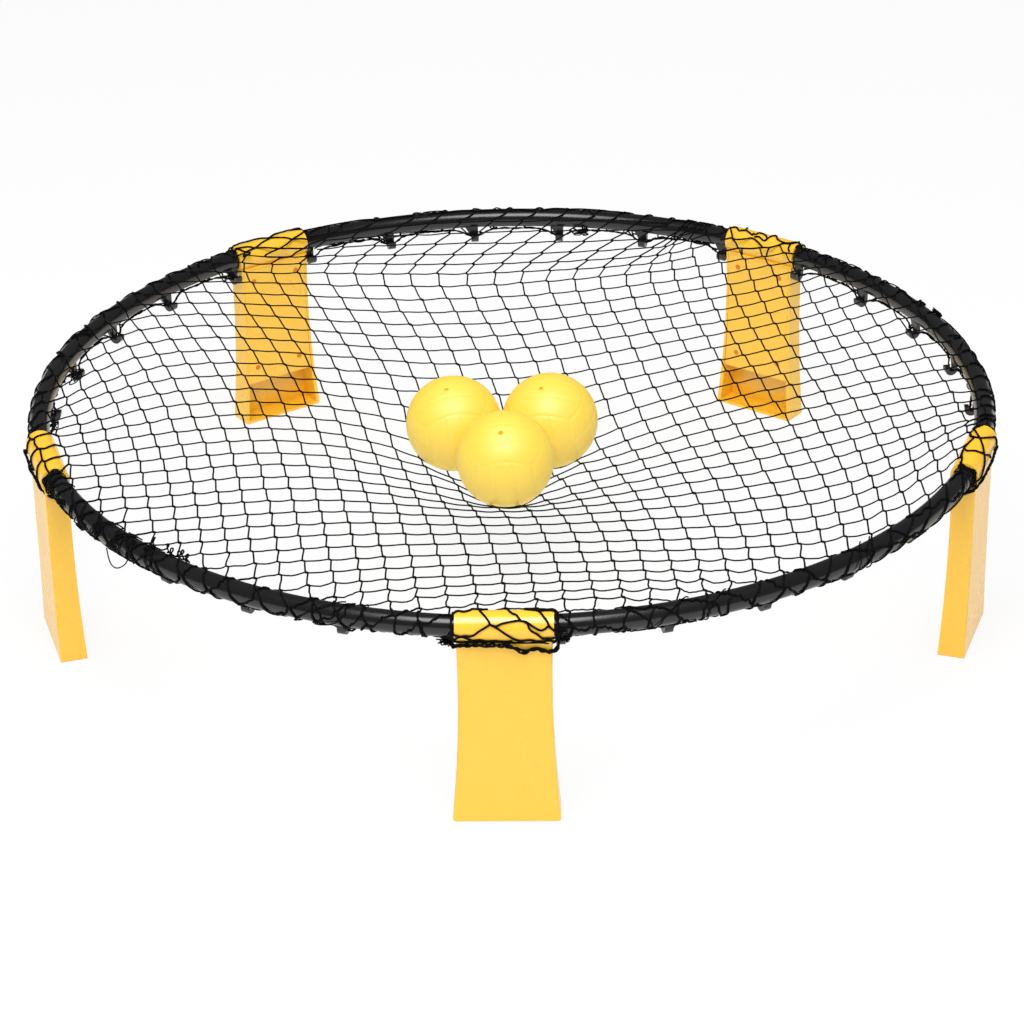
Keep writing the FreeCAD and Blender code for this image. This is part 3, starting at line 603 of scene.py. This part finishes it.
# threads drawn along the sleeves' ends, from the net down to the border: (leg, end, how many)
collarLook = {"places": ((0, -1, 1), (0, 1, 3), (1, -1, 2), (1, 1, 1), (4, 1, 2), (4, -1, 1), (2, -1, 1),
                         (3, 1, 1)),
              "from": 118, "turn": 172, "gap": 1.5, "apart": 0.9, "sway": 0.7, "parts": 18}
collars = []
for leg, end, count in collarLook["places"]:
    for strand in range(count):
        line = []
        sway = dice.uniform(0, tau)
        for number in range(collarLook["parts"] + 1):
            turn = collarLook["from"] - collarLook["turn"] * number / collarLook["parts"]
            along = netLook["sleeveHalf"] + collarLook["gap"] + collarLook["apart"] * strand
            along += collarLook["sway"] * math.sin(sway + number * 0.9)
            ring = legRing(leg) + end * along / sleeveAxis
            line.append(wrapPoint(ring, math.radians(turn), netLook["cord"] + 0.1 + 0.4 * strand))
        collars.append(line)


# threads over the sleeves: (mm from the leg's middle, angle round the sleeve) for each mark; where the second
# number is over 200 it is a radius, and the thread lies on the net there
frontThreads = (
    ((-46, 30), (-43, 4), (-37.3, -9), (-32.9, -7), (-28.6, -9), (-25, -1), (-20.7, 12), (-15.5, 25),
     (-11.6, 33), (-6.9, 30), (-2.5, 36), (1.8, 41), (7, 43), (11.3, 46), (15.6, 46), (19.1, 41), (23.4, 29),
     (27.7, 19), (31.1, 14), (34.6, 19), (37.2, 26), (40.6, 17), (44, 5), (46, 0)),
    ((15.6, 46), (20, 36), (21, 24), (23.4, 12), (27.7, 0), (31.9, -15), (36.3, -17), (41.4, -15), (46, -11)),
    ((-21.7, 112), (-21, 92), (-18.2, 76), (-14.7, 57), (-12.5, 43), (-11.2, 33), (-6, 23), (-1.7, 9.5),
     (3.4, -6), (8.5, -22), (13.7, -31), (22, -28), (28, -34), (36, -31), (46, -36)),
    ((3.4, 112), (4, 97), (6.9, 78), (10.4, 71), (12.2, 57), (14.8, 45)),
    ((26, 112), (27.7, 98), (31.2, 82), (33.8, 62), (36.4, 46), (38.1, 29), (41.5, 16), (45, 8)),
    ((-46, -18), (-41.7, -22), (-39, -11), (-34.7, -11), (-30.4, -18), (-26, -29), (-20.9, -26), (-14, -33),
     (-7, -30), (0, -36), (7, -33)),
    ((-46, -30), (-40, -36), (-30, -37), (-20, -35), (-10, -36), (0, -38), (6, -43), (12, -47), (20, -48),
     (27, -44), (33, -47), (39, -50), (46, -42)),
    ((-28, 116), (-29.6, 99), (-34.7, 88), (-40, 91), (-43, 79), (-46, 60)),
    ((18, 112), (24, 100), (31, 92), (38, 95), (43.5, 88), (46, 60)),
)
rightThreads = (
    ((37, 122), (30.7, 113), (21, 96), (12.8, 80), (2.5, 60), (-7.5, 43), (-15.4, 26), (-26.5, 10), (-42.1, 4),
     (-47, -20)),
    ((24, 128), (19.6, 122), (14.5, 103), (13.5, 78), (20.6, 56), (29, 38), (35, 25), (37, -10)),
    ((-8, 126), (-13, 116), (-17.2, 103), (-14.8, 77), (-12.8, 58), (-8.5, 41)),
    ((-13, 126), (-24, 120), (-32.7, 113), (-46.1, 96), (-49, 86)),
    ((-7, 30), (2, 14), (8, -8)),
)
leftThreads = (
    ((-40, 129), (-38.4, 124), (-31.9, 100), (-30, 83), (-29.2, 68), (-28.2, 58), (-32.2, 44), (-31.4, 29),
     (-28.9, 12), (-33, -8)),
    ((-28.2, 58), (-34.4, 48), (-41, 47), (-45.6, 47)),
    ((-28.2, 58), (-26.9, 60), (-18.9, 58), (-7.6, 61), (-4.6, 63)),
    ((-14, 133), (-11.6, 126), (-3.6, 103), (-0.6, 83), (-5.3, 61), (-6.3, 45), (-6.4, 28), (-6.8, 10),
     (-4.1, -14), (0, -26)),
    ((-4.6, 63), (-2.6, 68), (7.7, 64), (17.7, 60), (22.4, 63)),
    ((16, 128), (18, 120), (22, 101), (24.2, 85), (24.9, 68), (19.8, 56), (21, 41), (21.9, 28), (26, 12),
     (25, -12), (30, -40)),
    ((24.9, 66), (27.2, 66), (35.6, 63), (45.5, 60)),
    ((40, 133), (41.8, 130), (46, 111), (47, 97), (47, 83), (46.5, 71), (47, 50)),
)
backRightThreads = (
    ((47, 104), (44, 108), (37.1, 96), (31, 112), (28.3, 105), (24.3, 98), (26, 80), (27, 60)),
    ((24.3, 98), (17.3, 109), (12.5, 118), (12.7, 107), (9, 107), (7.2, 92), (-1.3, 95), (-6.8, 118),
     (-5, 128), (-1, 126), (3.7, 118), (9, 124)),
    ((-6.8, 118), (-10.8, 73), (-17.8, 102), (-24.9, 113), (-31.4, 113), (-36.6, 103), (-41.2, 88),
     (-46.4, 76)),
    ((43, 441), (37.8, 445), (32.7, 449), (26.9, 448), (18.5, 452), (11.2, 457), (2.2, 454), (-11.1, 446)),
    ((32, 416), (23.4, 423), (18.9, 429), (12.5, 434), (-0.4, 439), (-11.1, 446), (-18, 449), (-23.6, 456),
     (-27.7, 461), (-36.3, 110), (-42, 90)),
    ((45, 98), (43.4, 107), (37.1, 457), (30.9, 448), (23, 442), (13.7, 433)),
    ((9.5, 434), (2.2, 424)),
    ((-18.7, 448), (-21.2, 441), (-25.3, 434)),
    ((-36.6, 110), (-38.3, 457), (-43, 453)),
)
backLeftThreads = (
    ((47, 84), (36.3, 75), (21.7, 66), (9.1, 70), (-0.2, 97), (-7, 84), (-14, 68), (-24.3, 64), (-33.1, 78),
     (-48, 100)),
    ((-0.2, 97), (-11.4, 112), (-22, 459), (-26.5, 455), (-36.9, 452), (-46.1, 446)),
    ((44, 104), (36.3, 112), (28.5, 462), (22.3, 458), (12.9, 454), (4.6, 449), (-1.9, 445), (-11.7, 441),
     (-21, 437), (-27.4, 434), (-37.8, 430)),
    ((36.8, 456), (30, 457), (22.3, 458), (11, 462), (-0.7, 103), (-12, 66), (-18, 52)),
    ((22.2, 439), (10.1, 443), (-2.1, 445), (-13.6, 449), (-26.7, 456), (-39.1, 461), (-47, 108)),
    ((-3.8, 425), (-15, 430), (-27.7, 434), (-36.1, 438), (-43.2, 440)),
    ((44, 449), (33, 452), (36.8, 456), (41, 118), (46, 100)),
)


def sleevePoint(leg, along, mark):
    ring = legRing(leg) + math.atan(along / sleeveAxis)
    if mark > 200:
        return onMesh(mark * math.cos(ring), mark * math.sin(ring))
    return wrapPoint(ring, math.radians(mark + dice.uniform(-1.5, 1.5)), netLook["cord"] + 0.15)


# a thread's end is tied to the nearest loose end of the mesh
def tieOn(points):
    start = points[0]
    nearest = min(looseEnds, key=lambda place: (place - start).length)
    if 1 < (nearest - start).length < netLook["firstTie"]:
        tied.add(tuple(nearest))
        return [nearest] + points
    return points


tied = set()
onSleeve = []
for leg, threads in enumerate((frontThreads, rightThreads, backRightThreads, backLeftThreads, leftThreads)):
    for marks in threads:
        points = [sleevePoint(leg, *mark) for mark in marks]
        if marks[0][1] > 105:
            points = tieOn(points)
        if marks[-1][1] > 105:
            points = tieOn(points[::-1])
        onSleeve.append([outOfTube(point, netLook["cord"]) for point in smoothLine(points)])
marksOn = [point for line in onSleeve for point in line]
for place in looseEnds:
    nearest = min(marksOn, key=lambda point: (point - place).length)
    if tuple(place) not in tied and 1 < (nearest - place).length < netLook["tieReach"]:
        tied.add(tuple(place))
        onSleeve.append([outOfTube(place.lerp(nearest, part / 8), netLook["cord"]) for part in range(9)])


# slack threads wound over the tube where the net is bunched: (from, to in degrees round the ring, how many)
bunchLook = {"places": ((204, 215, 4), (215, 227, 12), (228, 262, 5), (132, 192, 8), (82, 120, 5), (60, 82, 5),
                        (8, 48, 9), (348, 8, 3), (312, 335, 4), (278, 312, 3)),
             "slant": (1.0, 6.5), "top": (95, 150), "bottom": (-118, -60), "lift": (0.1, 1.3),
             "sweep": (0.2, 0.9), "parts": 24}
wound = []
for low, high, count in bunchLook["places"]:
    for _ in range(count):
        ring = math.radians(dice.uniform(low, high))
        slant = math.radians(dice.choice((-1, 1)) * dice.uniform(*bunchLook["slant"]))
        top, bottom = dice.uniform(*bunchLook["top"]), dice.uniform(*bunchLook["bottom"])
        lift = dice.uniform(*bunchLook["lift"]) * (1 - 0.6 * smooth(0.2, 0.8, math.sin(ring)))
        ends = [abs(nearestLeg(ring + slant * share)[1]) * sleeveAxis for share in (0, 0.5, 1)]
        if min(ends) < netLook["sleeveHalf"] + 4:
            slant = 0
            if ends[0] < netLook["sleeveHalf"] + 6:
                continue
        sway, sweep = dice.uniform(0, tau), dice.uniform(*bunchLook["sweep"])
        line = []
        for number in range(bunchLook["parts"] + 1):
            t = number / bunchLook["parts"]
            wander = sweep * math.sin(sway + 5 * t) + dice.uniform(-0.12, 0.12)
            place = ring + slant * t + math.radians(wander)
            line.append(wrapPoint(place, math.radians(top + (bottom - top) * t), netLook["thinCord"] + lift))
        wound.append(line)


# loose tangles: (angle round the ring in degrees, turn round the tube, mm off the tube, size, turns)
tangles = ((81, -125, 5, 6, 7), (21.6, 50, 1.5, 5, 6), (24.5, 70, 1.5, 4, 5), (263.9, -88, 6, 4.4, 5),
           (263.3, -84, 5, 3.4, 4), (276.3, -62, 3, 3, 5), (276.2, 0, 1, 3, 5), (183, -120, 8, 7, 7),
           (169, -120, 8, 7, 7), (133.4, -118, 6, 5, 6), (352, -118, 6, 5, 5), (213, -70, 2, 4.5, 6),
           (214.5, -10, 0.5, 5, 7), (218, 30, 0.5, 5, 6), (224, 60, 0.5, 4.5, 6), (226.5, 85, 1, 4, 6),
           (209, 10, 0.5, 4, 6))
tangled = []
for angle, turn, off, size, turns in tangles:
    ring = math.radians(angle)
    centre = wrapPoint(ring, math.radians(turn), off)
    along = Vector((-math.sin(ring), math.cos(ring), 0))
    up = (centre - wrapPoint(ring, math.radians(turn), 0)).normalized()
    across = along.cross(up)
    marks = []
    for _ in range(turns * 3):
        aside, inwards, lift = dice.uniform(-1, 1), dice.uniform(-1, 1), dice.uniform(-0.5, 0.8)
        flat = centre + along * aside * size * 1.5 + across * inwards * size
        marks.append(flat + up * lift * (size + off) / 2)
    tangled.append(smoothLine(marks, 5, True))

# slack curls that roll along above the rim at the front left:
# (from, to in degrees round the ring, how many rolls, size, mm above the rim)
curlLook = {"places": ((225.0, 232.0, 3, 4.4, 1.5), (228.6, 232.2, 3, 3.2, 0.5)),
            "radius": 461.5, "height": 207, "lean": 0.6, "depth": 0.4}
curls = []
for low, high, rolls, size, lift in curlLook["places"]:
    marks = []
    for number in range(rolls * 6 + 1):
        roll = tau * number / 6 + dice.uniform(-0.25, 0.25)
        spread = size * dice.uniform(0.8, 1.1)
        ring = math.radians(low + (high - low) * number / (rolls * 6)) + spread * math.sin(roll) / rimRadius
        r = curlLook["radius"] + curlLook["depth"] * spread * math.cos(roll + curlLook["lean"])
        marks.append(ringPoint(ring, r, curlLook["height"] + lift - spread * math.cos(roll)))
    curls.append([outOfTube(point, netLook["cord"]) for point in smoothLine(marks)])

# and a loop that hangs below it
hangingLoop = {"from": 219.6, "spread": 4.0, "drop": 12, "out": 4, "radius": 477, "height": 187}
loop = []
for number in range(17):
    u = number / 16
    ring = math.radians(hangingLoop["from"] + hangingLoop["spread"] * u)
    drop = hangingLoop["drop"] * math.sin(math.pi * u) ** 0.7
    r = hangingLoop["radius"] + hangingLoop["out"] * math.sin(math.pi * u)
    loop.append(ringPoint(ring, r, hangingLoop["height"] - drop))
tangled.append(loop)


# ---- node trees that turn lines into cord, and points into knots
def newTree(name, inputs):
    tree = bpy.data.node_groups.new(name, "GeometryNodeTree")
    tree.interface.new_socket("Geometry", in_out="OUTPUT", socket_type="NodeSocketGeometry")
    tree.interface.new_socket("Geometry", in_out="INPUT", socket_type="NodeSocketGeometry")
    for label, kind in inputs:
        tree.interface.new_socket(label, in_out="INPUT", socket_type=kind)
    start = tree.nodes.new("NodeGroupInput")
    return Wire(tree), {socket.name: Wire(tree, socket) for socket in start.outputs if socket.name}


def endTree(wire, geometry, material):
    solid = wire.add("GeometryNodeRealizeInstances", None, {"Geometry": geometry})
    coated = wire.add("GeometryNodeSetMaterial", None, {"Geometry": solid, "Material": material})
    wire.add("NodeGroupOutput", None, {0: coated})
    return wire.tree


def makeCordTree():
    wire, given = newTree("cordAlongLines", [("Cord Radius", "NodeSocketFloat"), ("Sides", "NodeSocketInt"),
                                             ("Unevenness", "NodeSocketFloat"),
                                             ("Material", "NodeSocketMaterial")])
    curve = wire.add("GeometryNodeMeshToCurve", None, {"Mesh": given["Geometry"]})
    length = wire.add("GeometryNodeSplineParameter", out=1)
    curve = wire.add("GeometryNodeStoreNamedAttribute", {"data_type": "FLOAT", "domain": "POINT"},
                     {"Geometry": curve, "Name": "cordLength", "Value": length})
    ripple = wire.add("ShaderNodeTexNoise", None, {"Scale": 300.0})
    size = wire.maths("MULTIPLY_ADD", ripple - 0.5, given["Unevenness"], 1.0)
    curve = wire.add("GeometryNodeSetCurveRadius", None, {"Curve": curve, "Radius": size})
    circle = wire.add("GeometryNodeCurvePrimitiveCircle", None,
                      {"Radius": given["Cord Radius"], "Resolution": given["Sides"]})
    factor = wire.add("GeometryNodeSplineParameter", out=0)
    circle = wire.add("GeometryNodeStoreNamedAttribute", {"data_type": "FLOAT", "domain": "POINT"},
                      {"Geometry": circle, "Name": "cordTurn", "Value": factor})
    swept = wire.add("GeometryNodeCurveToMesh", None,
                     {"Curve": curve, "Profile Curve": circle, "Fill Caps": True})
    turn = wire.add("GeometryNodeInputNamedAttribute", {"data_type": "FLOAT"}, {"Name": "cordTurn"})
    along = wire.add("GeometryNodeInputNamedAttribute", {"data_type": "FLOAT"}, {"Name": "cordLength"})
    lay = wire.add("ShaderNodeCombineXYZ", None, {"X": along, "Y": turn})
    swept = wire.add("GeometryNodeStoreNamedAttribute", {"data_type": "FLOAT_VECTOR", "domain": "POINT"},
                     {"Geometry": swept, "Name": "cordLay", "Value": lay})
    soft = wire.add("GeometryNodeSetShadeSmooth", None, {0: swept, "Shade Smooth": True})
    return endTree(wire, soft, given["Material"])


def makeKnotTree():
    wire, given = newTree("knotsOnPoints", [("Knot", "NodeSocketObject"), ("Knot Size", "NodeSocketFloat"),
                                            ("Size Spread", "NodeSocketFloat"), ("Seed", "NodeSocketInt"),
                                            ("Material", "NodeSocketMaterial")])
    shape = wire.add("GeometryNodeObjectInfo", None, {"Object": given["Knot"], "As Instance": True}, out=4)
    way = wire.add("GeometryNodeInputNamedAttribute", {"data_type": "FLOAT_VECTOR"}, {"Name": "knotWay"})
    aim = wire.add("FunctionNodeAlignRotationToVector", {"axis": "X"}, {"Vector": way})
    spin = wire.add("FunctionNodeRandomValue", {"data_type": "FLOAT"},
                    {"Min": 0.0, "Max": tau, "Seed": given["Seed"]}, out=1)
    roll = wire.add("FunctionNodeAxisAngleToRotation", None, {"Axis": (1.0, 0.0, 0.0), "Angle": spin})
    turned = wire.add("FunctionNodeRotateRotation", {"rotation_space": "LOCAL"},
                      {"Rotation": aim, "Rotate By": roll})
    pick = wire.add("FunctionNodeRandomValue", {"data_type": "FLOAT"},
                    {"Min": 0.0, "Max": 1.0, "Seed": given["Seed"] + 7.0}, out=1)
    size = given["Knot Size"] * (1 + (pick - 0.5) * given["Size Spread"])
    placed = wire.add("GeometryNodeInstanceOnPoints", None,
                      {"Points": given["Geometry"], "Instance": shape, "Rotation": turned, "Scale": size})
    return endTree(wire, placed, given["Material"])


def newPiece(name, vertices, edges=(), faces=(), scale=mm):
    mesh = bpy.data.meshes.new(name)
    mesh.from_pydata([Vector(v) * scale for v in vertices], edges, faces)
    mesh.update()
    piece = bpy.data.objects.new(name, mesh)
    bpy.context.scene.collection.objects.link(piece)
    return piece


def growTree(piece, tree, values):
    modifier = piece.modifiers.new("shape", "NODES")
    modifier.node_group = tree
    for item in tree.interface.items_tree:
        if item.in_out == "INPUT" and item.name in values:
            modifier[item.identifier] = values[item.name]
    piece.update_tag()
    graph = bpy.context.evaluated_depsgraph_get()
    mesh = bpy.data.meshes.new_from_object(piece.evaluated_get(graph), depsgraph=graph)
    piece.modifiers.remove(modifier)
    mesh.name = piece.name
    piece.data = mesh
    return piece


def linesPiece(name, strands, radius, sides, uneven):
    vertices, edges = [], []
    for line in strands:
        first = len(vertices)
        vertices += line
        edges += [(first + n, first + n + 1) for n in range(len(line) - 1)]
    return growTree(newPiece(name, vertices, edges), cordTree,
                    {"Cord Radius": radius * mm, "Sides": sides, "Unevenness": uneven,
                     "Material": materials["netCord"]})


# a piece turned round an axis: its profile (place on the axis, radius), and a function that places each point
def turnedPiece(name, profile, sides, pointAt, scale=mm):
    vertices, faces = [pointAt(*profile[0], 0)], []
    for along, r in profile[1:-1]:
        vertices += [pointAt(along, r, tau * n / sides) for n in range(sides)]
    vertices.append(pointAt(*profile[-1], 0))
    last = len(vertices) - 1
    rings = len(profile) - 2
    for n in range(sides):
        m = (n + 1) % sides
        faces.append((0, 1 + m, 1 + n))
        for row in range(rings - 1):
            a, b = 1 + row * sides, 1 + (row + 1) * sides
            faces.append((a + n, a + m, b + m, b + n))
        faces.append((last, last - sides + n, last - sides + m))
    piece = newPiece(name, vertices, (), faces, scale)
    for face in piece.data.polygons:
        face.use_smooth = True
    return piece


# a small knot: two humps side by side with a waist between them, unit size, lying along X
def makeKnotShape():
    profile = ((-1.75, 0.0), (-1.4, 0.5), (-0.65, 0.88), (0.0, 0.7), (0.65, 0.88), (1.4, 0.5), (1.75, 0.0))
    return turnedPiece("knotShape", profile, 7,
                       lambda x, r, turn: (x, r * math.cos(turn), r * 1.1 * math.sin(turn)), 1.0)


def knotsPiece(name, points, ways, size, spread, seed):
    piece = newPiece(name, points)
    way = piece.data.attributes.new("knotWay", "FLOAT_VECTOR", "POINT")
    for number, vector in enumerate(ways):
        way.data[number].vector = vector
    return growTree(piece, knotTree, {"Knot": knotShape, "Knot Size": size * mm, "Size Spread": spread,
                                      "Seed": seed, "Material": materials["netCord"]})


cordTree = makeCordTree()
knotTree = makeKnotTree()
knotShape = makeKnotShape()

threads = linesPiece("net_columns", columnLines, netLook["cord"], 6, 0.5)
rows = linesPiece("net_rows", rowLines, netLook["thinCord"], 6, 0.5)
overRim = linesPiece("net_rim_wraps", edgeLines + collars, netLook["cord"] + 0.05, 6, 0.5)
sleeveCord = linesPiece("net_sleeve_wraps", onSleeve, netLook["sleeveCord"], 7, 0.6)
borderCord = linesPiece("net_border_cord", border, netLook["borderCord"], 6, 0.6)
backCord = linesPiece("net_border_back", backBorder, netLook["backBorderCord"], 6, 0.6)
bunched = linesPiece("net_bunches", wound, netLook["thinCord"], 5, 0.6)
loose = linesPiece("net_tangles", tangled, netLook["tangleCord"], 6, 0.6)
curled = linesPiece("net_curls", curls, netLook["curlCord"], 6, 0.6)
netKnots = knotsPiece("net_knots", [(a + b) / 2 for a, b in knots.values()],
                      [(b - a).normalized() for a, b in knots.values()], netLook["knot"], 0.35, 11)
along = [Vector((-p.y, p.x, 0)).normalized() for p in borderKnots]
beads = knotsPiece("net_border_knots", borderKnots, along, netLook["bottomKnot"], 0.5, 13)
bpy.data.objects.remove(knotShape)
netPieces = (threads, rows, overRim, sleeveCord, netKnots, bunched, loose, curled, borderCord, backCord,
             beads)
for piece in netPieces:
    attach(piece, "rim")
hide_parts("net")
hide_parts("net_border")
print("net:", sum(len(piece.data.polygons) for piece in netPieces), "faces")


# ---- balls: a moulded skin with eighteen panels, and a sunk valve
seamLook = {"depth": 0.42, "width": 1.05, "bow": 8.0, "strip": 0.33, "overlap": 1.04, "finer": 1.7,
            "valveRim": 2.0, "valveHollow": 2.9, "valveDepth": 1.3}


def ballAxes(name):
    pole = Vector(ballLook["valveWays"][name]).normalized()
    strips = Vector((1, 0, 0))
    strips = (strips - pole * strips.dot(pole)).normalized()
    strips = Matrix.Rotation(math.radians(ballLook["stripTurns"][name]), 3, pole) @ strips
    return pole, strips, pole.cross(strips)


# how far a place on the unit ball is from the nearest seam
def seamDistance(point):
    best = 1.0
    bow = math.radians(seamLook["bow"])
    quarter = math.pi / 4
    spots = []
    for n in range(3):
        s, c = (n + 1) % 3, (n + 2) % 3
        for sign in (1, -1):
            up = point[n] * sign
            if up < 0.25:
                continue
            a, b = math.atan2(point[c], up), math.atan2(point[s], up)
            edge = quarter - bow * (1 - min(abs(b) / quarter, 1) ** 2)
            flat = math.sqrt(max(1 - point[s] ** 2, 0))
            if abs(b) < quarter * seamLook["overlap"]:
                best = min(best, abs(abs(a) - edge) * flat)
            spots.append((n, a, b, edge, flat))
    # strips show only on the face the point belongs to
    for n, a, b, edge, flat in spots:
        if abs(a) > edge:
            continue
        ends = [spot for spot in spots if spot[0] == (n + 1) % 3]
        if any(abs(spot[1]) < spot[3] for spot in ends):
            continue
        best = min(best, abs(abs(a) - edge * seamLook["strip"]) * flat)
    return best


def makeBallSkin(name):
    pole, strips, cross = ballAxes(name)
    shape = bmesh.new()
    bmesh.ops.create_icosphere(shape, subdivisions=6, radius=1)

    def away(point):
        local = (point.dot(pole), point.dot(strips), point.dot(cross))
        return seamDistance(local) * ballLook["radius"]

    near = {vertex for vertex in shape.verts if away(vertex.co) < seamLook["finer"]}
    edges = [edge for edge in shape.edges if edge.verts[0] in near and edge.verts[1] in near]
    bmesh.ops.subdivide_edges(shape, edges=edges, cuts=1)
    bmesh.ops.triangulate(shape, faces=[face for face in shape.faces if len(face.verts) > 4])
    centre = ballCentre(name)
    for vertex in shape.verts:
        way = vertex.co.normalized()
        groove = seamLook["depth"] * math.exp(-(away(way) / seamLook["width"]) ** 2)
        fromValve = math.acos(min(way.dot(pole), 1)) * ballLook["radius"]
        level = smooth(seamLook["valveRim"], seamLook["valveHollow"], fromValve)
        hollow = seamLook["valveDepth"] * (1 - level)
        vertex.co = (centre + way * (ballLook["radius"] - groove - hollow)) * mm
    mesh = bpy.data.meshes.new("ball_skin_" + name)
    for face in shape.faces:
        face.smooth = True
    shape.to_mesh(mesh)
    shape.free()
    mesh.materials.append(materials["ballYellow"])
    piece = bpy.data.objects.new(mesh.name, mesh)
    bpy.context.scene.collection.objects.link(piece)
    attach(piece, "ball_" + name)
    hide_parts("ball_" + name)
    return piece


# the valve's half section, from its top: (mm above the ball's skin, mm from its middle)
valveLook = {"profile": ((-2.6, 0.0), (-2.5, 0.3), (-1.0, 0.35), (-0.75, 0.6), (-0.65, 1.2), (-0.7, 1.9),
                         (-0.85, 2.3), (-1.1, 2.45), (-2.8, 2.5), (-3.2, 0.0)), "sides": 28}


def makeValve(name):
    pole, strips, cross = ballAxes(name)
    base = ballCentre(name) + pole * ballLook["radius"]
    piece = turnedPiece("valve_rubber_" + name, valveLook["profile"], valveLook["sides"],
                        lambda height, r, turn: base + (strips * math.cos(turn) + cross * math.sin(turn)) * r
                        + pole * height)
    piece.data.flip_normals()
    piece.data.materials.append(materials["valveOrange"])
    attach(piece, "ball_" + name)
    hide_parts("valve_" + name)


for name in ballLook["places"]:
    skin = makeBallSkin(name)
    makeValve(name)
    print("ball", name, len(skin.data.polygons), "faces")


# ---- camera, light and floor
photo = {"target": (-0.73, 2.52, 100), "distance": 3234.6, "elevation": 26.91, "azimuth": 1.13, "roll": -0.82,
         "lens": 112.23, "shift": -0.0324}


def cameraAxes():
    el, az, roll = (math.radians(photo[name]) for name in ("elevation", "azimuth", "roll"))
    back = Vector((math.sin(az) * math.cos(el), -math.cos(az) * math.cos(el), math.sin(el)))
    right = (-back).cross(Vector((0, 0, 1))).normalized()
    up = back.cross(right).normalized()
    return right * math.cos(roll) + up * math.sin(roll), up * math.cos(roll) - right * math.sin(roll), back


def makeCamera():
    data = bpy.data.cameras.new("camera")
    data.lens, data.sensor_width, data.shift_y = photo["lens"], 36, photo["shift"]
    data.clip_start, data.clip_end = 0.1, 50
    camera = bpy.data.objects.new("camera", data)
    bpy.context.scene.collection.objects.link(camera)
    axes = cameraAxes()
    turn = Matrix(axes).transposed()
    place = (Vector(photo["target"]) + axes[2] * photo["distance"]) * mm
    camera.matrix_world = Matrix.Translation(place) @ turn.to_4x4()
    bpy.context.scene.camera = camera


# where each lamp stands, its size in metres, its power, and whether reflections show it
lamps = {
    "overBox": ((-0.1, -1.1, 2.45), (1.3, 1.6), 52, True),
    "frontBox": ((0.3, -2.8, 1.5), (3.2, 1.6), 6, False),
    "backBox": ((0.6, 2.6, 2.2), (2.6, 1.2), 5, False),
    "sideBox": ((-2.8, 0.2, 1.6), (1.6, 1.6), 5, False),
}
stageLook = {"floorSide": 9, "floor": 0.9, "floorShown": 0.86, "sky": (0.97, 0.985, 1.0), "skyLight": 0.62,
             "tentSide": 3.4, "tentFoot": 0.02, "tentTop": 3.6, "tentGlow": 0.13}


def makeLamp(name, place, size, power, shines):
    data = bpy.data.lights.new(name, "AREA")
    data.shape, data.size, data.size_y = "RECTANGLE", *size
    data.energy = power
    lamp = bpy.data.objects.new(name, data)
    bpy.context.scene.collection.objects.link(lamp)
    place = Vector(place)
    lamp.matrix_world = Matrix.Translation(place) @ place.to_track_quat("Z", "Y").to_matrix().to_4x4()
    lamp.visible_glossy = shines


# 1 for what the camera sees, straight, mirrored or through glass, and 0 for the light that falls on the set
def seenRays(wire):
    path = wire.add("ShaderNodeLightPath")
    rays = [Wire(wire.tree, path.socket.node.outputs["Is " + kind + " Ray"])
            for kind in ("Camera", "Glossy", "Transmission")]
    return wire.maths("MINIMUM", rays[0] + rays[1] + rays[2], 1.0)


def makeFloor():
    side = stageLook["floorSide"]
    corners = [(-side, -side, 0), (side, -side, 0), (side, side, 0), (-side, side, 0)]
    floor = newPiece("floor", corners, (), [(0, 1, 2, 3)], 1.0)
    material, wire, where = newMaterial("paleFloor")
    matte = wire.add("ShaderNodeBsdfDiffuse", None, {"Color": (*[stageLook["floor"]] * 3, 1)})
    glow = wire.add("ShaderNodeEmission", None, {"Color": (1, 1, 1, 1), "Strength": 1.0})
    shown = seenRays(wire) * stageLook["floorShown"]
    mixed = wire.add("ShaderNodeMixShader", None, {0: shown, 1: matte, 2: glow})
    wire.add("ShaderNodeOutputMaterial", None, {"Surface": mixed})
    floor.data.materials.append(material)


# a dark tent over the set, open below, seen only in reflections
def makeTent():
    side = stageLook["tentSide"]
    corners = [(x, y, z) for z in (stageLook["tentFoot"], stageLook["tentTop"])
               for x, y in ((-side, side), (-side, -side), (side, -side), (side, side))]
    walls = [(0, 1, 5, 4), (1, 2, 6, 5), (2, 3, 7, 6), (3, 0, 4, 7), (4, 5, 6, 7)]
    tent = newPiece("darkTent", corners, (), walls, 1.0)
    material, wire, where = newMaterial("darkTent")
    glow = wire.add("ShaderNodeEmission", None, {"Color": (1, 1, 1, 1), "Strength": stageLook["tentGlow"]})
    wire.add("ShaderNodeOutputMaterial", None, {"Surface": glow})
    tent.data.materials.append(material)
    tent.visible_diffuse = tent.visible_shadow = tent.visible_camera = tent.visible_transmission = False


def makeWorld():
    world = bpy.data.worlds.new("studio")
    world.use_nodes = True
    world.node_tree.nodes.clear()
    wire = Wire(world.node_tree)
    soft = wire.add("ShaderNodeBackground", None,
                    {"Color": (*stageLook["sky"], 1), "Strength": stageLook["skyLight"]})
    white = wire.add("ShaderNodeBackground", None, {"Color": (1, 1, 1, 1), "Strength": 1.0})
    mixed = wire.add("ShaderNodeMixShader", None, {0: seenRays(wire), 1: soft, 2: white})
    wire.add("ShaderNodeOutputWorld", None, {"Surface": mixed})
    bpy.context.scene.world = world


makeCamera()
makeFloor()
makeTent()
makeWorld()
for name, lamp in lamps.items():
    makeLamp(name, *lamp)
bpy.context.scene.view_settings.view_transform = "Standard"
print("camera and light ready")
